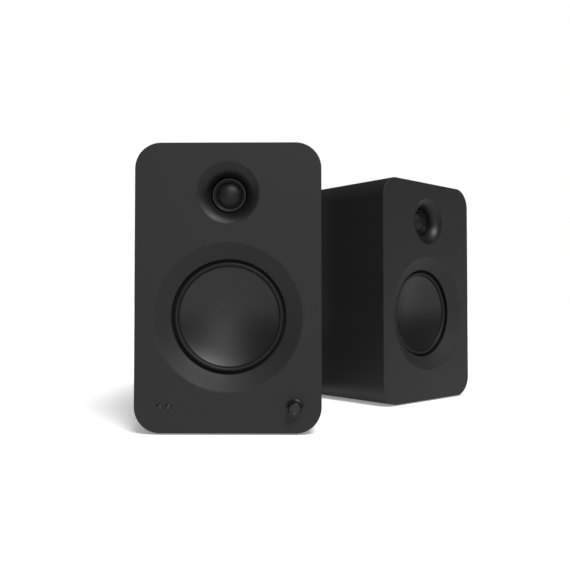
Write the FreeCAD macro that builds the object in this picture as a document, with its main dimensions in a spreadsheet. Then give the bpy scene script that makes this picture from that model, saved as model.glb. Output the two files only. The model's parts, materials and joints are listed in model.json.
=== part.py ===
import FreeCAD, Part
import math
import os
import re

import Sketcher

# A pair of powered desktop speakers: a main speaker with the amplifier, and a
# passive satellite that stands behind it to the right, turned outwards.
# Each speaker has a local frame: x to the right, y back from the front face,
# z up from the desk. Its origin is on the desk, under the middle of the front.
# The pair's own origin is on the desk, in the middle of the area it covers.

DIMENSIONS = {
    # the two cabinets and how they stand
    "cabinet_width": 175.0,
    "cabinet_height": 272.0,
    "cabinet_depth": 230.0,
    "corner_radius": 24.4,
    "edge_round": 1.0,
    "wall": 12.0,
    "baffle_thickness": 18.0,
    "back_thickness": 12.0,
    "satellite_yaw": 42.8,
    "pair_gap": 11.4,
    "pair_along": 104.4,
    # rubber feet
    "foot_height": 1.5,
    "foot_radius": 8.0,
    "foot_inset": 12.0,
    # general clearances
    "fit_gap": 0.05,
    "motion_gap": 0.3,
    # wood screws
    "screw_radius": 1.6,
    "screw_head_radius": 3.1,
    "screw_head_height": 1.9,
    "screw_grip": 8.0,
    # woofer opening in the front
    "woofer_height": 108.2,
    "bevel_radius": 70.0,
    "bevel_depth": 9.4,
    "lip_radius": 54.6,
    "lip_wall": 3.8,
    # woofer frame
    "flange_width": 10.9,
    "flange_thickness": 4.0,
    "woofer_screw_inset": 6.9,
    "basket_wall": 1.6,
    "basket_depth": 29.0,
    "basket_neck_radius": 32.0,
    "basket_hole_radius": 22.0,
    "window_count": 6.0,
    # woofer cone, surround, spider and coil
    "cone_radius": 47.6,
    "cone_depth": 10.0,
    "cone_thickness": 0.7,
    "surround_thickness": 0.8,
    "surround_land": 3.4,
    "spider_height": 20.0,
    "spider_radius": 38.0,
    "spider_thickness": 0.5,
    "coil_radius": 15.95,
    "former_thickness": 0.25,
    "winding_thickness": 0.55,
    "winding_height": 11.0,
    # woofer motor
    "motor_radius": 42.0,
    "magnet_radius": 45.0,
    "magnet_bore": 22.0,
    "magnet_thickness": 15.0,
    "top_plate_thickness": 5.0,
    "back_plate_thickness": 6.0,
    "coil_clearance": 0.5,
    "pole_clearance": 0.8,
    # tweeter
    "tweeter_from_top": 47.7,
    "mouth_radius": 29.3,
    "mouth_rim": 0.4,
    "throat_radius": 17.6,
    "throat_depth": 12.5,
    "flare_radius": 16.0,
    "throat_floor_depth": 15.0,
    "throat_floor_thickness": 2.0,
    "waveguide_flange_width": 5.9,
    "waveguide_flange_thickness": 2.5,
    "tweeter_screw_inset": 3.1,
    "trim_outer_radius": 16.0,
    "trim_inner_radius": 14.4,
    "trim_height": 1.5,
    "dome_radius": 12.7,
    "dome_height": 4.6,
    "dome_thickness": 0.35,
    "dome_roll": 1.4,
    "tweeter_motor_radius": 21.8,
    "tweeter_motor_length": 21.0,
    "tweeter_slot_depth": 5.0,
    # reflex port at the back
    "port_from_top": 50.0,
    "port_radius": 19.0,
    "port_wall": 2.5,
    "port_length": 96.0,
    "port_flare_rise": 8.0,
    "port_flare_length": 16.0,
    "port_flange_radius": 33.0,
    "port_flange_thickness": 1.5,
    # volume control at the bottom right of the front
    "knob_inset": 24.9,
    "knob_height_up": 23.9,
    "knob_height": 9.5,
    "knob_base_radius": 8.4,
    "knob_front_radius": 5.4,
    "knob_gap": 0.9,
    "shaft_radius": 3.0,
    "shaft_hole_radius": 3.8,
    "press_travel": 0.5,
    "encoder_width": 12.0,
    "encoder_depth": 8.5,
    "board_thickness": 1.6,
    # receiver window and status lamp at the bottom left of the front
    "receiver_inset": 24.0,
    "lamp_inset": 32.2,
    "window_height_up": 24.5,
    "window_radius": 3.2,
    "window_depth": 6.0,
    # plates at the back
    "plate_thickness": 2.0,
    "plate_corner": 6.0,
    "plate_overlap": 9.0,
    "amp_plate_width": 128.0,
    "amp_plate_height": 150.0,
    "amp_plate_up": 102.0,
    "terminal_plate_width": 84.0,
    "terminal_plate_height": 64.0,
    "terminal_plate_up": 102.0,
    # binding posts
    "post_spacing": 19.05,
    "main_post_margin": 1.45,
    "main_post_up": 58.0,
    "post_radius": 3.0,
    "post_length": 18.5,
    "post_base_radius": 7.5,
    "post_base_height": 3.5,
    "post_inside": 14.0,
    "post_nut_rim": 2.5,
    "post_nut_thickness": 3.0,
    "banana_radius": 2.0,
    "banana_depth": 10.5,
    "wire_hole_radius": 1.2,
    "post_washer_thickness": 1.0,
    "post_cap_radius": 6.5,
    "post_cap_length": 15.1,
    # phono, headphone-size and optical inputs
    "inputs_up": 146.0,
    "phono_x": 22.0,
    "phono_spacing": 19.0,
    "phono_radius": 4.15,
    "phono_bore_radius": 3.0,
    "phono_pin_bore": 1.7,
    "phono_length": 9.0,
    "aux_x": -2.0,
    "aux_outer_radius": 4.0,
    "aux_bore_radius": 1.8,
    "aux_bore_depth": 14.0,
    "optical_x": -32.0,
    "optical_width": 12.0,
    "optical_cavity": 8.4,
    "optical_depth": 11.0,
    "shutter_thickness": 0.6,
    # mains inlet and rocker switch
    "inlet_x": -36.0,
    "inlet_up": 62.0,
    "inlet_width": 30.0,
    "inlet_height": 50.0,
    "inlet_proud": 2.0,
    "inlet_depth": 17.0,
    "socket_width": 16.6,
    "socket_height": 9.4,
    "socket_depth": 13.0,
    "socket_up": -13.0,
    "pin_radius": 1.2,
    "pin_spacing": 8.6,
    "rocker_width": 13.0,
    "rocker_height": 18.0,
    "rocker_thickness": 6.0,
    "rocker_angle": 8.0,
    "rocker_up": 9.0,
    "rocker_recess_depth": 9.0,
    "trunnion_radius": 1.2,
    "trunnion_length": 0.9,
    # boards inside
    "amp_board_width": 112.0,
    "amp_board_height": 62.0,
    "amp_board_up": 134.0,
    "amp_board_gap": 16.0,
    "supply_board_width": 112.0,
    "supply_board_height": 56.0,
    "supply_board_up": 62.0,
    "supply_board_gap": 34.0,
    "crossover_width": 90.0,
    "crossover_height": 60.0,
    "crossover_gap": 24.0,
}

doc = FreeCAD.newDocument("desktop_speakers")
sheet = doc.addObject("Spreadsheet::Sheet", "sizes")
for row, (name, number) in enumerate(DIMENSIONS.items(), start=1):
    sheet.set(f"A{row}", name)
    sheet.set(f"B{row}", str(number))
    sheet.setAlias(f"B{row}", name)
doc.recompute()

# Places that several pieces share, as expressions on the sheet.
WOOFER_Z = "(foot_height + woofer_height)"
TWEETER_Z = "(foot_height + cabinet_height - tweeter_from_top)"
PORT_Z = "(foot_height + cabinet_height - port_from_top)"
KNOB_Z = "(foot_height + knob_height_up)"
WINDOW_Z = "(foot_height + window_height_up)"
MIDDLE_Z = "(foot_height + cabinet_height / 2)"
KNOB_X = "(cabinet_width / 2 - knob_inset)"
WINDOW_X = ["(receiver_inset - cabinet_width / 2)", "(lamp_inset - cabinet_width / 2)"]
FLANGE_RADIUS = "(lip_radius + flange_width)"
WOOFER_SCREW_RING = "(lip_radius + woofer_screw_inset)"
TWEETER_SCREW_RING = "(mouth_radius + tweeter_screw_inset)"
EDGE_DEPTH = "(bevel_depth + lip_wall)"
FLANGE_DEPTH = "(bevel_depth + lip_wall + surround_thickness)"
NECK_DEPTH = f"({FLANGE_DEPTH} + basket_depth)"
MAGNET_DEPTH = f"({NECK_DEPTH} + top_plate_thickness)"
YOKE_DEPTH = f"({MAGNET_DEPTH} + magnet_thickness)"
DOME_DEPTH = "(throat_floor_depth + 0.5)"
TWEETER_MOTOR_DEPTH = "(throat_floor_depth + throat_floor_thickness)"
PLATE_DEPTH = "(cabinet_depth + plate_thickness)"
ENCODER_DEPTH = "(baffle_thickness + motion_gap)"
BOARD_DEPTH = f"({ENCODER_DEPTH} + encoder_depth)"
SHAFT_END = "(baffle_thickness + 4)"
INPUTS_Z = "(foot_height + inputs_up)"
PHONO_X = ["phono_x", "phono_x + phono_spacing"]
ROCKER_Z = "(foot_height + inlet_up + rocker_up)"
OPTICAL_TOP = "(optical_cavity / 2)"
# The nuts of the main speaker's posts stay clear of the edge of the back board's opening.
MAIN_POST_X = ("(amp_plate_width / 2 - plate_overlap - post_radius - post_nut_rim"
               " - main_post_margin - post_spacing)")

# The satellite's front centre as seen from the main speaker's, so that its side
# clears the main speaker's rear corner by pair_gap.
HALF = "cabinet_width / 2"
COS, SIN = "cos(satellite_yaw)", "sin(satellite_yaw)"
ASIDE = f"(pair_gap + {HALF})"
SATELLITE_RIGHT = f"({HALF} + pair_along * {SIN} + {ASIDE} * {COS})"
SATELLITE_BACK = f"(cabinet_depth - pair_along * {COS} + {ASIDE} * {SIN})"
MAIN_X = f"(({HALF} - {HALF} * {COS} - {SATELLITE_RIGHT}) / 2)"
MAIN_Y = f"((knob_height - cabinet_depth * {COS} - {HALF} * {SIN} - {SATELLITE_BACK}) / 2)"
STANDS = {
    "main": (MAIN_X, MAIN_Y, "0"),
    "satellite": (f"({MAIN_X} + {SATELLITE_RIGHT})", f"({MAIN_Y} + {SATELLITE_BACK})", "satellite_yaw"),
}

sub_parts = []


def bound(text):
    """The same expression with the sheet's name before each of its aliases."""
    return re.sub(r"[a-z][a-z_]*", lambda word: ("sizes." if word[0] in DIMENSIONS else "") + word[0], text)


def value(text):
    """What an expression comes to with the sheet's present numbers."""
    return float(sheet.evalExpression(bound(text)))


def bind(item, **sizes):
    for name, text in sizes.items():
        item.setExpression(name, bound(text))


def move(item, x="0", y="0", z="0"):
    """Places an item within its own sub-part, and returns it."""
    for axis, text in zip("xyz", (x, y, z)):
        item.setExpression(f"Placement.Base.{axis}", bound(text))
    return item


def sub_part(side, name, item, x="0", y="0", z="0"):
    """Names a finished sub-part and stands it in its speaker's local frame."""
    origin_x, origin_y, yaw = STANDS[side]
    item.Label = f"{side}_{name}"
    item.setExpression("Placement.Base.x", bound(f"{origin_x} + ({x}) * cos({yaw}) - ({y}) * sin({yaw})"))
    item.setExpression("Placement.Base.y", bound(f"{origin_y} + ({x}) * sin({yaw}) + ({y}) * cos({yaw})"))
    item.setExpression("Placement.Base.z", bound(z))
    item.setExpression("Placement.Rotation.Angle", bound(yaw))
    sub_parts.append(item)


def block(x, y, z, width, depth, height):
    """A box between x, y, z and x + width, y + depth, z + height."""
    box = doc.addObject("Part::Box", "block")
    bind(box, Length=width, Width=depth, Height=height)
    return move(box, x, y, z)


def centred_block(x, y, z, width, depth, height):
    """A box whose middle is at x and z, and whose front is at y."""
    return block(f"{x} - ({width}) / 2", y, f"{z} - ({height}) / 2", width, depth, height)


def rod(radius, length, x="0", y="0", z="0"):
    """A cylinder along y that starts at x, y, z."""
    cylinder = doc.addObject("Part::Cylinder", "rod")
    cylinder.Placement = FreeCAD.Placement(FreeCAD.Vector(), FreeCAD.Rotation(FreeCAD.Vector(1, 0, 0), -90))
    bind(cylinder, Radius=radius, Height=length)
    return move(cylinder, x, y, z)


def pin(radius, length, x="0", y="0", z="0"):
    """A cylinder along x whose middle is at x, y, z."""
    cylinder = doc.addObject("Part::Cylinder", "pin")
    cylinder.Placement = FreeCAD.Placement(FreeCAD.Vector(), FreeCAD.Rotation(FreeCAD.Vector(0, 1, 0), 90))
    bind(cylinder, Radius=radius, Height=length)
    return move(cylinder, f"{x} - ({length}) / 2", y, z)


def disc(radius, height, x, y, z):
    """A cylinder along z that starts at x, y, z."""
    cylinder = doc.addObject("Part::Cylinder", "disc")
    bind(cylinder, Radius=radius, Height=height)
    return move(cylinder, x, y, z)


def join(items):
    union = doc.addObject("Part::MultiFuse", "union")
    union.Shapes = items
    return union


def group(items):
    """Separate solids that share one sub-part."""
    compound = doc.addObject("Part::Compound", "group")
    compound.Links = items
    return compound


def cut(base, tools):
    difference = doc.addObject("Part::Cut", "difference")
    difference.Base = base
    difference.Tool = tools[0] if len(tools) == 1 else join(tools)
    return difference


def sketch_on(body, role):
    sketch = body.newObject("Sketcher::SketchObject", "sketch")
    plane = next(item for item in body.Origin.OriginFeatures if item.Role == role)
    sketch.AttachmentSupport = [(plane, "")]
    sketch.MapMode = "FlatFace"
    return sketch


def arc_between(start, end, radius, turn):
    """The shorter arc from start to end, turning "left" or "right" on its way."""
    run = end - start
    offset = math.sqrt(max(radius**2 - (run.Length / 2) ** 2, 0))
    left = FreeCAD.Vector(-run.y, run.x, 0).normalize()
    centre = (start + end) / 2 + left * (offset if turn == "left" else -offset)
    first, last = (start, end) if turn == "left" else (end, start)
    angles = [math.atan2(point.y - centre.y, point.x - centre.x) for point in (first, last)]
    if angles[1] < angles[0]:
        angles[1] += 2 * math.pi
    return Part.ArcOfCircle(Part.Circle(centre, FreeCAD.Vector(0, 0, 1), radius), *angles)


def tie(sketch, text, *constraint):
    """Adds a dimension to the sketch and binds it to the expression."""
    index = sketch.addConstraint(Sketcher.Constraint(*constraint))
    sketch.setExpression(f"Constraints[{index}]", bound(text))


def outline(sketch, path):
    """Draws a closed outline, each point tied to the sheet.

    A point is (x, y) after a straight run, or (x, y, radius, turn) after an arc.
    """
    points = [FreeCAD.Vector(value(stop[0]), value(stop[1]), 0) for stop in path]
    runs = []
    for index, stop in enumerate(path):
        start, end = points[index - 1], points[index]
        if len(stop) == 2:
            runs.append((sketch.addGeometry(Part.LineSegment(start, end), False), 1, 2))
            continue
        arc = sketch.addGeometry(arc_between(start, end, value(stop[2]), stop[3]), False)
        runs.append((arc, 1, 2) if stop[3] == "left" else (arc, 2, 1))
        tie(sketch, stop[2], "Radius", arc, value(stop[2]))
    for index, (run, start, end) in enumerate(runs):
        following, next_start, _ = runs[(index + 1) % len(runs)]
        sketch.addConstraint(Sketcher.Constraint("Coincident", run, end, following, next_start))
        tie(sketch, path[index][0], "DistanceX", -1, 1, run, end, points[index].x)
        tie(sketch, path[index][1], "DistanceY", -1, 1, run, end, points[index].y)


def round_hole(sketch, x, y, radius):
    circle = Part.Circle(FreeCAD.Vector(value(x), value(y), 0), FreeCAD.Vector(0, 0, 1), value(radius))
    hole = sketch.addGeometry(circle, False)
    tie(sketch, radius, "Radius", hole, value(radius))
    tie(sketch, x, "DistanceX", -1, 1, hole, 3, value(x))
    tie(sketch, y, "DistanceY", -1, 1, hole, 3, value(y))


def turned(path):
    """A body turned about y, from an outline of (depth, radius) points."""
    body = doc.addObject("PartDesign::Body", "turned")
    sketch = sketch_on(body, "YZ_Plane")
    outline(sketch, path)
    revolution = body.newObject("PartDesign::Revolution", "revolution")
    revolution.Profile = sketch
    revolution.ReferenceAxis = (sketch, ["H_Axis"])
    revolution.Angle = 360
    return body


def tube(outer, inner, start, length):
    """A round tube along y."""
    end = f"{start} + {length}"
    return turned([(start, inner), (end, inner), (end, outer), (start, outer)])


def panel(outlines, thickness, holes=()):
    """A flat body that starts at its front plane: outlines of (x, z) points, padded back along y."""
    body = doc.addObject("PartDesign::Body", "panel")
    sketch = sketch_on(body, "XZ_Plane")
    for path in outlines:
        outline(sketch, path)
    for hole in holes:
        round_hole(sketch, *hole)
    pad = body.newObject("PartDesign::Pad", "pad")
    pad.Profile = sketch
    bind(pad, Length=thickness)
    pad.Reversed = True
    return body


def rounded(width, height, corner, x="0", z="0"):
    """The outline of a rounded rectangle about x, z."""
    left, right = f"{x} - ({width}) / 2", f"{x} + ({width}) / 2"
    low, high = f"{z} - ({height}) / 2", f"{z} + ({height}) / 2"
    return [
        (f"{right} - ({corner})", low),
        (right, f"{low} + {corner}", corner, "left"),
        (right, f"{high} - ({corner})"),
        (f"{right} - ({corner})", high, corner, "left"),
        (f"{left} + {corner}", high),
        (left, f"{high} - ({corner})", corner, "left"),
        (left, f"{low} + {corner}"),
        (f"{left} + {corner}", low, corner, "left"),
    ]


def ring_of(count, radius, start_angle=0.0):
    """Evenly spaced (x, z) places on a circle."""
    places = []
    for index in range(count):
        angle = start_angle + 360.0 * index / count
        places.append((f"{radius} * cos({angle})", f"{radius} * sin({angle})"))
    return places


def cap_sphere(radius, height):
    """The radius of the sphere whose cap has this rim radius and height."""
    return f"((({radius})^2 + ({height})^2) / (2 * ({height})))"


def dish_depth(radius):
    """How far the cone's face lies behind its edge at a radius."""
    sphere = cap_sphere("cone_radius", "cone_depth")
    return f"(cone_depth - {sphere} + sqrt({sphere}^2 - ({radius})^2))"


def round_front_edge(body, radius):
    """Rounds the outer edges of a padded body's front face."""
    doc.recompute()
    pad = body.Tip
    edges = [
        f"Edge{number}"
        for number, edge in enumerate(pad.Shape.Edges, start=1)
        if edge.BoundBox.YMax < 1e-6
    ]
    fillet = body.newObject("PartDesign::Fillet", "edge_round")
    fillet.Base = (pad, edges)
    bind(fillet, Radius=radius)


# ---- places of the fasteners, used by the holes and by the screws ----

def woofer_screws():
    return [(x, f"{WOOFER_Z} + {z}") for x, z in ring_of(6, WOOFER_SCREW_RING, 30.0)]


def tweeter_screws():
    return [(x, f"{TWEETER_Z} + {z}") for x, z in ring_of(3, TWEETER_SCREW_RING, 30.0)]


PLATES = {
    "main": ("amp_plate_width", "amp_plate_height", "(foot_height + amp_plate_up)"),
    "satellite": ("terminal_plate_width", "terminal_plate_height", "(foot_height + terminal_plate_up)"),
}


def plate_screws(side):
    """The rear plate's screws: its corners, and the middles of the taller plate's sides."""
    width, height, up = PLATES[side]
    rows = (-1, 0, 1) if side == "main" else (-1, 1)
    inset = "plate_overlap / 2"
    return [
        (f"{across} * ({width} / 2 - {inset})", f"{up} + {row} * ({height} / 2 - {inset})")
        for across in (-1, 1)
        for row in rows
    ]


def post_places(side):
    """Where a speaker's two binding posts stand: black, then red."""
    if side == "main":
        return [(MAIN_POST_X, "foot_height + main_post_up"),
                (f"{MAIN_POST_X} + post_spacing", "foot_height + main_post_up")]
    return [("-post_spacing / 2", "foot_height + terminal_plate_up"),
            ("post_spacing / 2", "foot_height + terminal_plate_up")]


# ---- the wooden box ----

def box_outline():
    return rounded("cabinet_width", "cabinet_height", "corner_radius", z=MIDDLE_Z)


def box_inside():
    width, height = "cabinet_width - 2 * wall", "cabinet_height - 2 * wall"
    return rounded(width, height, "(corner_radius - wall)", z=MIDDLE_Z)


def cabinet(side):
    sleeve = panel([box_outline(), box_inside()], "cabinet_depth - baffle_thickness")
    sub_part(side, "cabinet", sleeve, y="baffle_thickness")


def front_baffle(side):
    board = panel([box_outline()], "baffle_thickness")
    round_front_edge(board, "edge_round")
    over = "(baffle_thickness + 1)"
    woofer_opening = turned([
        ("0", "0"), (over, "0"), (over, f"{FLANGE_RADIUS} + motion_gap"),
        (EDGE_DEPTH, f"{FLANGE_RADIUS} + motion_gap"), (EDGE_DEPTH, "lip_radius"),
        ("bevel_depth", "lip_radius"), ("0", "bevel_radius"),
    ])
    tools = [move(woofer_opening, z=WOOFER_Z), rod("mouth_radius + fit_gap", "baffle_thickness", z=TWEETER_Z)]
    for x, z in woofer_screws() + tweeter_screws():
        tools.append(rod("screw_radius + fit_gap", "screw_grip", x, "baffle_thickness - 7.5", z))
    if side == "main":
        tools.append(rod("shaft_hole_radius", "baffle_thickness", KNOB_X, "0", KNOB_Z))
        for x in WINDOW_X:
            tools.append(rod("window_radius + fit_gap", "baffle_thickness", x, "0", WINDOW_Z))
    sub_part(side, "front_baffle", cut(board, tools))


def back_board(side):
    width, height, up = PLATES[side]
    opening = rounded(f"{width} - 2 * plate_overlap", f"{height} - 2 * plate_overlap", "plate_corner", z=up)
    holes = [("0", PORT_Z, "port_radius + port_flare_rise + 2 * fit_gap + 1")]
    holes += [(x, z, "screw_radius + fit_gap") for x, z in plate_screws(side)]
    board = panel([box_inside(), opening], "back_thickness", holes)
    sub_part(side, "back_board", board, y="cabinet_depth - back_thickness")


def port_tube(side):
    start = "cabinet_depth - port_length"
    flare = "cabinet_depth - port_flare_length"
    outside = "(cabinet_depth + port_flange_thickness)"
    length, rise = "(port_flare_length + port_flange_thickness)", "port_flare_rise"
    bend = f"({length}^2 + {rise}^2) / (2 * {rise})"
    collar = "port_radius + port_flare_rise + 1"
    tube_outside = "port_radius + port_wall"
    body = turned([
        (start, "port_radius"), (flare, "port_radius"),
        (outside, "port_radius + port_flare_rise", bend, "left"),
        (outside, "port_flange_radius"), ("cabinet_depth", "port_flange_radius"), ("cabinet_depth", collar),
        (flare, collar), (flare, tube_outside), (start, tube_outside),
    ])
    sub_part(side, "port_tube", body, z=PORT_Z)


def feet(side):
    pads = []
    for x in (f"-({HALF} - corner_radius - foot_inset)", f"{HALF} - corner_radius - foot_inset"):
        for y in ("baffle_thickness + foot_inset", "cabinet_depth - baffle_thickness - foot_inset"):
            pads.append(disc("foot_radius", "foot_height", x, y, "0"))
    sub_part(side, "feet", group(pads))


def screws(side):
    """All the wood screws. Those of the drivers go in from inside, those of the plate from outside."""
    items = []
    grip = "screw_grip - 1"
    sets = [
        (woofer_screws(), f"{FLANGE_DEPTH} + flange_thickness"),
        (tweeter_screws(), "baffle_thickness + waveguide_flange_thickness"),
        (plate_screws(side), PLATE_DEPTH),
    ]
    for places, seat in sets:
        for x, z in places:
            head = rod("screw_head_radius", "screw_head_height", x, seat, z)
            items.append(join([head, rod("screw_radius", grip, x, f"{seat} - ({grip})", z)]))
    sub_part(side, "screws", group(items))


# ---- the woofer ----

def woofer_basket(side):
    flange, back = FLANGE_DEPTH, f"({FLANGE_DEPTH} + flange_thickness)"
    ledge = f"({flange} + spider_height + spider_thickness)"
    body = turned([
        (flange, FLANGE_RADIUS), (flange, "lip_radius"), (f"{flange} + 3", "lip_radius"),
        (ledge, "spider_radius + basket_wall"), (ledge, "spider_radius - 2"),
        (f"{ledge} + basket_wall", "spider_radius - 2"),
        (f"{NECK_DEPTH} - basket_wall", "basket_neck_radius - 2"),
        (f"{NECK_DEPTH} - basket_wall", "basket_hole_radius"),
        (NECK_DEPTH, "basket_hole_radius"), (NECK_DEPTH, "basket_neck_radius"),
        (f"{ledge} + 2", "spider_radius + 3"), (back, "lip_radius + 3"), (back, FLANGE_RADIUS),
    ])
    inner, outer = "(spider_radius + 5)", "(lip_radius - 2)"
    sketch = sketch_on(body, "XZ_Plane")
    half_angle = 20.0
    low = [(f"{radius} * cos({half_angle})", f"-{radius} * sin({half_angle})") for radius in (inner, outer)]
    high = [(f"{radius} * cos({half_angle})", f"{radius} * sin({half_angle})") for radius in (outer, inner)]
    outline(sketch, [low[0], low[1], (*high[0], outer, "left"), high[1]])
    pocket = body.newObject("PartDesign::Pocket", "window")
    pocket.Profile = sketch
    pocket.Type = 1
    pocket.Reversed = True
    pattern = body.newObject("PartDesign::PolarPattern", "windows")
    pattern.Originals = [pocket]
    pattern.Axis = (next(item for item in body.Origin.OriginFeatures if item.Role == "Y_Axis"), [""])
    pattern.Angle = 360
    bind(pattern, Occurrences="window_count")
    body.Tip = pattern
    holes = [rod("screw_radius + fit_gap", "flange_thickness + 2", x, f"{flange} - 1", z)
             for x, z in ring_of(6, WOOFER_SCREW_RING, 30.0)]
    sub_part(side, "woofer_basket", cut(body, holes), z=WOOFER_Z)


def woofer_surround(side):
    front, back = EDGE_DEPTH, FLANGE_DEPTH
    outer, inner = "lip_radius - motion_gap", "cone_radius + 2 * motion_gap"
    crest = f"((({outer}) - ({inner})) / 2 * 1.03)"
    skin = "surround_thickness"
    body = turned([
        (front, f"lip_radius + surround_land"), (front, outer), (front, inner, crest, "left"),
        (front, "cone_radius + motion_gap"), (back, "cone_radius + motion_gap"), (back, f"{inner} + {skin}"),
        (back, f"{outer} - {skin}", f"({crest} - {skin})", "right"), (back, "lip_radius + surround_land"),
    ])
    sub_part(side, "woofer_surround", body, z=WOOFER_Z)


def woofer_cone(side):
    sphere = cap_sphere("cone_radius", "cone_depth")
    edge, centre = FLANGE_DEPTH, f"{FLANGE_DEPTH} + cone_depth"
    body = turned([
        (centre, "0"), (edge, "cone_radius", sphere, "left"), (f"{edge} + cone_thickness", "cone_radius"),
        (f"{centre} + cone_thickness", "0", sphere, "right"),
    ])
    sub_part(side, "woofer_cone", body, z=WOOFER_Z)


def woofer_voice_coil(side):
    start = f"({FLANGE_DEPTH} + {dish_depth('coil_radius - former_thickness')} + cone_thickness)"
    end = f"({MAGNET_DEPTH} - top_plate_thickness / 2 + winding_height / 2)"
    inner = "coil_radius - former_thickness"
    wire = "coil_radius + winding_thickness"
    body = turned([
        (start, inner), (end, inner), (end, wire), (f"{end} - winding_height", wire),
        (f"{end} - winding_height", "coil_radius"), (start, "coil_radius"),
    ])
    sub_part(side, "woofer_voice_coil", body, z=WOOFER_Z)


def woofer_spider(side):
    """A cloth ring with round waves, glued to the basket's ledge and round the coil."""
    front = f"({FLANGE_DEPTH} + spider_height)"
    back = f"({front} + spider_thickness)"
    waves = 6
    inside, outside = "(coil_radius + 2)", "(spider_radius - 2.5)"
    steps = [f"({inside} + ({outside} - {inside}) * {step} / {waves})" for step in range(waves + 1)]
    bend = f"(({outside} - {inside}) / {waves} * 0.72)"
    path = [(front, "spider_radius"), (front, outside)]
    for index, place in enumerate(reversed(steps[:-1])):
        path.append((front, place, bend, "left" if index % 2 else "right"))
    path += [(front, "coil_radius + motion_gap"), (back, "coil_radius + motion_gap"), (back, steps[0])]
    for index, place in enumerate(steps[1:]):
        path.append((back, place, bend, "right" if index % 2 == 0 else "left"))
    path.append((back, "spider_radius"))
    sub_part(side, "woofer_spider", turned(path), z=WOOFER_Z)


def woofer_motor(side):
    bore = "coil_radius + winding_thickness + coil_clearance"
    pole = "coil_radius - former_thickness - pole_clearance"
    top_plate = tube("motor_radius", bore, NECK_DEPTH, "top_plate_thickness")
    back = f"{YOKE_DEPTH} + back_plate_thickness"
    yoke = turned([
        (NECK_DEPTH, "0"), (NECK_DEPTH, pole), (YOKE_DEPTH, pole), (YOKE_DEPTH, "motor_radius"),
        (back, "motor_radius"), (back, "0"),
    ])
    sub_part(side, "woofer_pole_plates", group([top_plate, yoke]), z=WOOFER_Z)
    magnet = tube("magnet_radius", "magnet_bore", MAGNET_DEPTH, "magnet_thickness")
    sub_part(side, "woofer_magnet", magnet, z=WOOFER_Z)


# ---- the tweeter ----

def tweeter_waveguide(side):
    rim = "mouth_radius - mouth_rim"
    floor, behind = "throat_floor_depth", TWEETER_MOTOR_DEPTH
    flange_back = "baffle_thickness + waveguide_flange_thickness"
    body = turned([
        ("0", rim), ("throat_depth", "throat_radius", "flare_radius", "left"), (floor, "throat_radius"),
        (floor, "trim_inner_radius + 2 * fit_gap"), (behind, "trim_inner_radius + 2 * fit_gap"),
        (behind, "tweeter_motor_radius + fit_gap"), (flange_back, "tweeter_motor_radius + fit_gap"),
        (flange_back, "mouth_radius + waveguide_flange_width"),
        ("baffle_thickness", "mouth_radius + waveguide_flange_width"),
        ("baffle_thickness", "mouth_radius"), ("0", "mouth_radius"),
    ])
    holes = [rod("screw_radius + fit_gap", "waveguide_flange_thickness + 2", x, "baffle_thickness - 1", z)
             for x, z in ring_of(3, TWEETER_SCREW_RING, 30.0)]
    sub_part(side, "tweeter_waveguide", cut(body, holes), z=TWEETER_Z)


def tweeter_trim_ring(side):
    back, front = "throat_floor_depth", "throat_floor_depth - trim_height"
    body = turned([
        (back, "trim_inner_radius"), (f"{front} + 0.4", "trim_inner_radius"),
        (front, "trim_inner_radius + 0.4"), (front, "trim_outer_radius - 0.4"),
        (f"{front} + 0.4", "trim_outer_radius"), (back, "trim_outer_radius"),
    ])
    sub_part(side, "tweeter_trim_ring", body, z=TWEETER_Z)


def tweeter_dome(side):
    """A soft dome with its narrow half roll and the coil former behind it."""
    base, skin = DOME_DEPTH, "dome_thickness"
    former = f"{TWEETER_MOTOR_DEPTH} + tweeter_slot_depth - 1.5"
    outer, inner = "dome_radius + 0.2", "dome_radius - 0.05"
    body = turned([
        (f"{base} - dome_height", "0"),
        (base, "dome_radius", cap_sphere("dome_radius", "dome_height"), "right"),
        (base, "dome_radius + dome_roll", "dome_roll * 0.55", "right"),
        (f"{base} + {skin}", "dome_radius + dome_roll"), (f"{base} + {skin}", outer), (former, outer),
        (former, inner), (f"{base} + {skin}", inner),
        (f"{base} - dome_height + {skin}", "0", cap_sphere(inner, "dome_height"), "left"),
    ])
    sub_part(side, "tweeter_dome", body, z=TWEETER_Z)


def tweeter_motor(side):
    front = TWEETER_MOTOR_DEPTH
    slot, back = f"{front} + tweeter_slot_depth", f"{front} + tweeter_motor_length"
    inner, outer = "dome_radius - 0.5", "dome_radius + 0.65"
    body = turned([
        (front, "0"), (front, inner), (slot, inner), (slot, outer), (front, outer),
        (front, "tweeter_motor_radius"), (back, "tweeter_motor_radius"), (back, "0"),
    ])
    sub_part(side, "tweeter_motor", body, z=TWEETER_Z)


# ---- the rear plates and what is on both of them ----

def rear_plate(side):
    width, height, up = PLATES[side]
    holes = [(x, z, "screw_radius + fit_gap") for x, z in plate_screws(side)]
    holes += [(x, z, "post_radius + fit_gap") for x, z in post_places(side)]
    openings = []
    if side == "main":
        holes += [(x, INPUTS_Z, "phono_bore_radius + 0.5") for x in PHONO_X]
        holes.append(("aux_x", INPUTS_Z, "aux_outer_radius - 0.5"))
        wide = "optical_width + 2 * fit_gap"
        openings.append(rounded(wide, wide, "2 * fit_gap", x="optical_x", z=INPUTS_Z))
        openings.append(rounded("inlet_width + 2 * fit_gap", "inlet_height + 2 * fit_gap", "2 * fit_gap",
                                x="inlet_x", z="(foot_height + inlet_up)"))
    plate = panel([rounded(width, height, "plate_corner", z=up)] + openings, "plate_thickness", holes)
    sub_part(side, "amp_plate" if side == "main" else "terminal_plate", plate, y="cabinet_depth")


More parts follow.
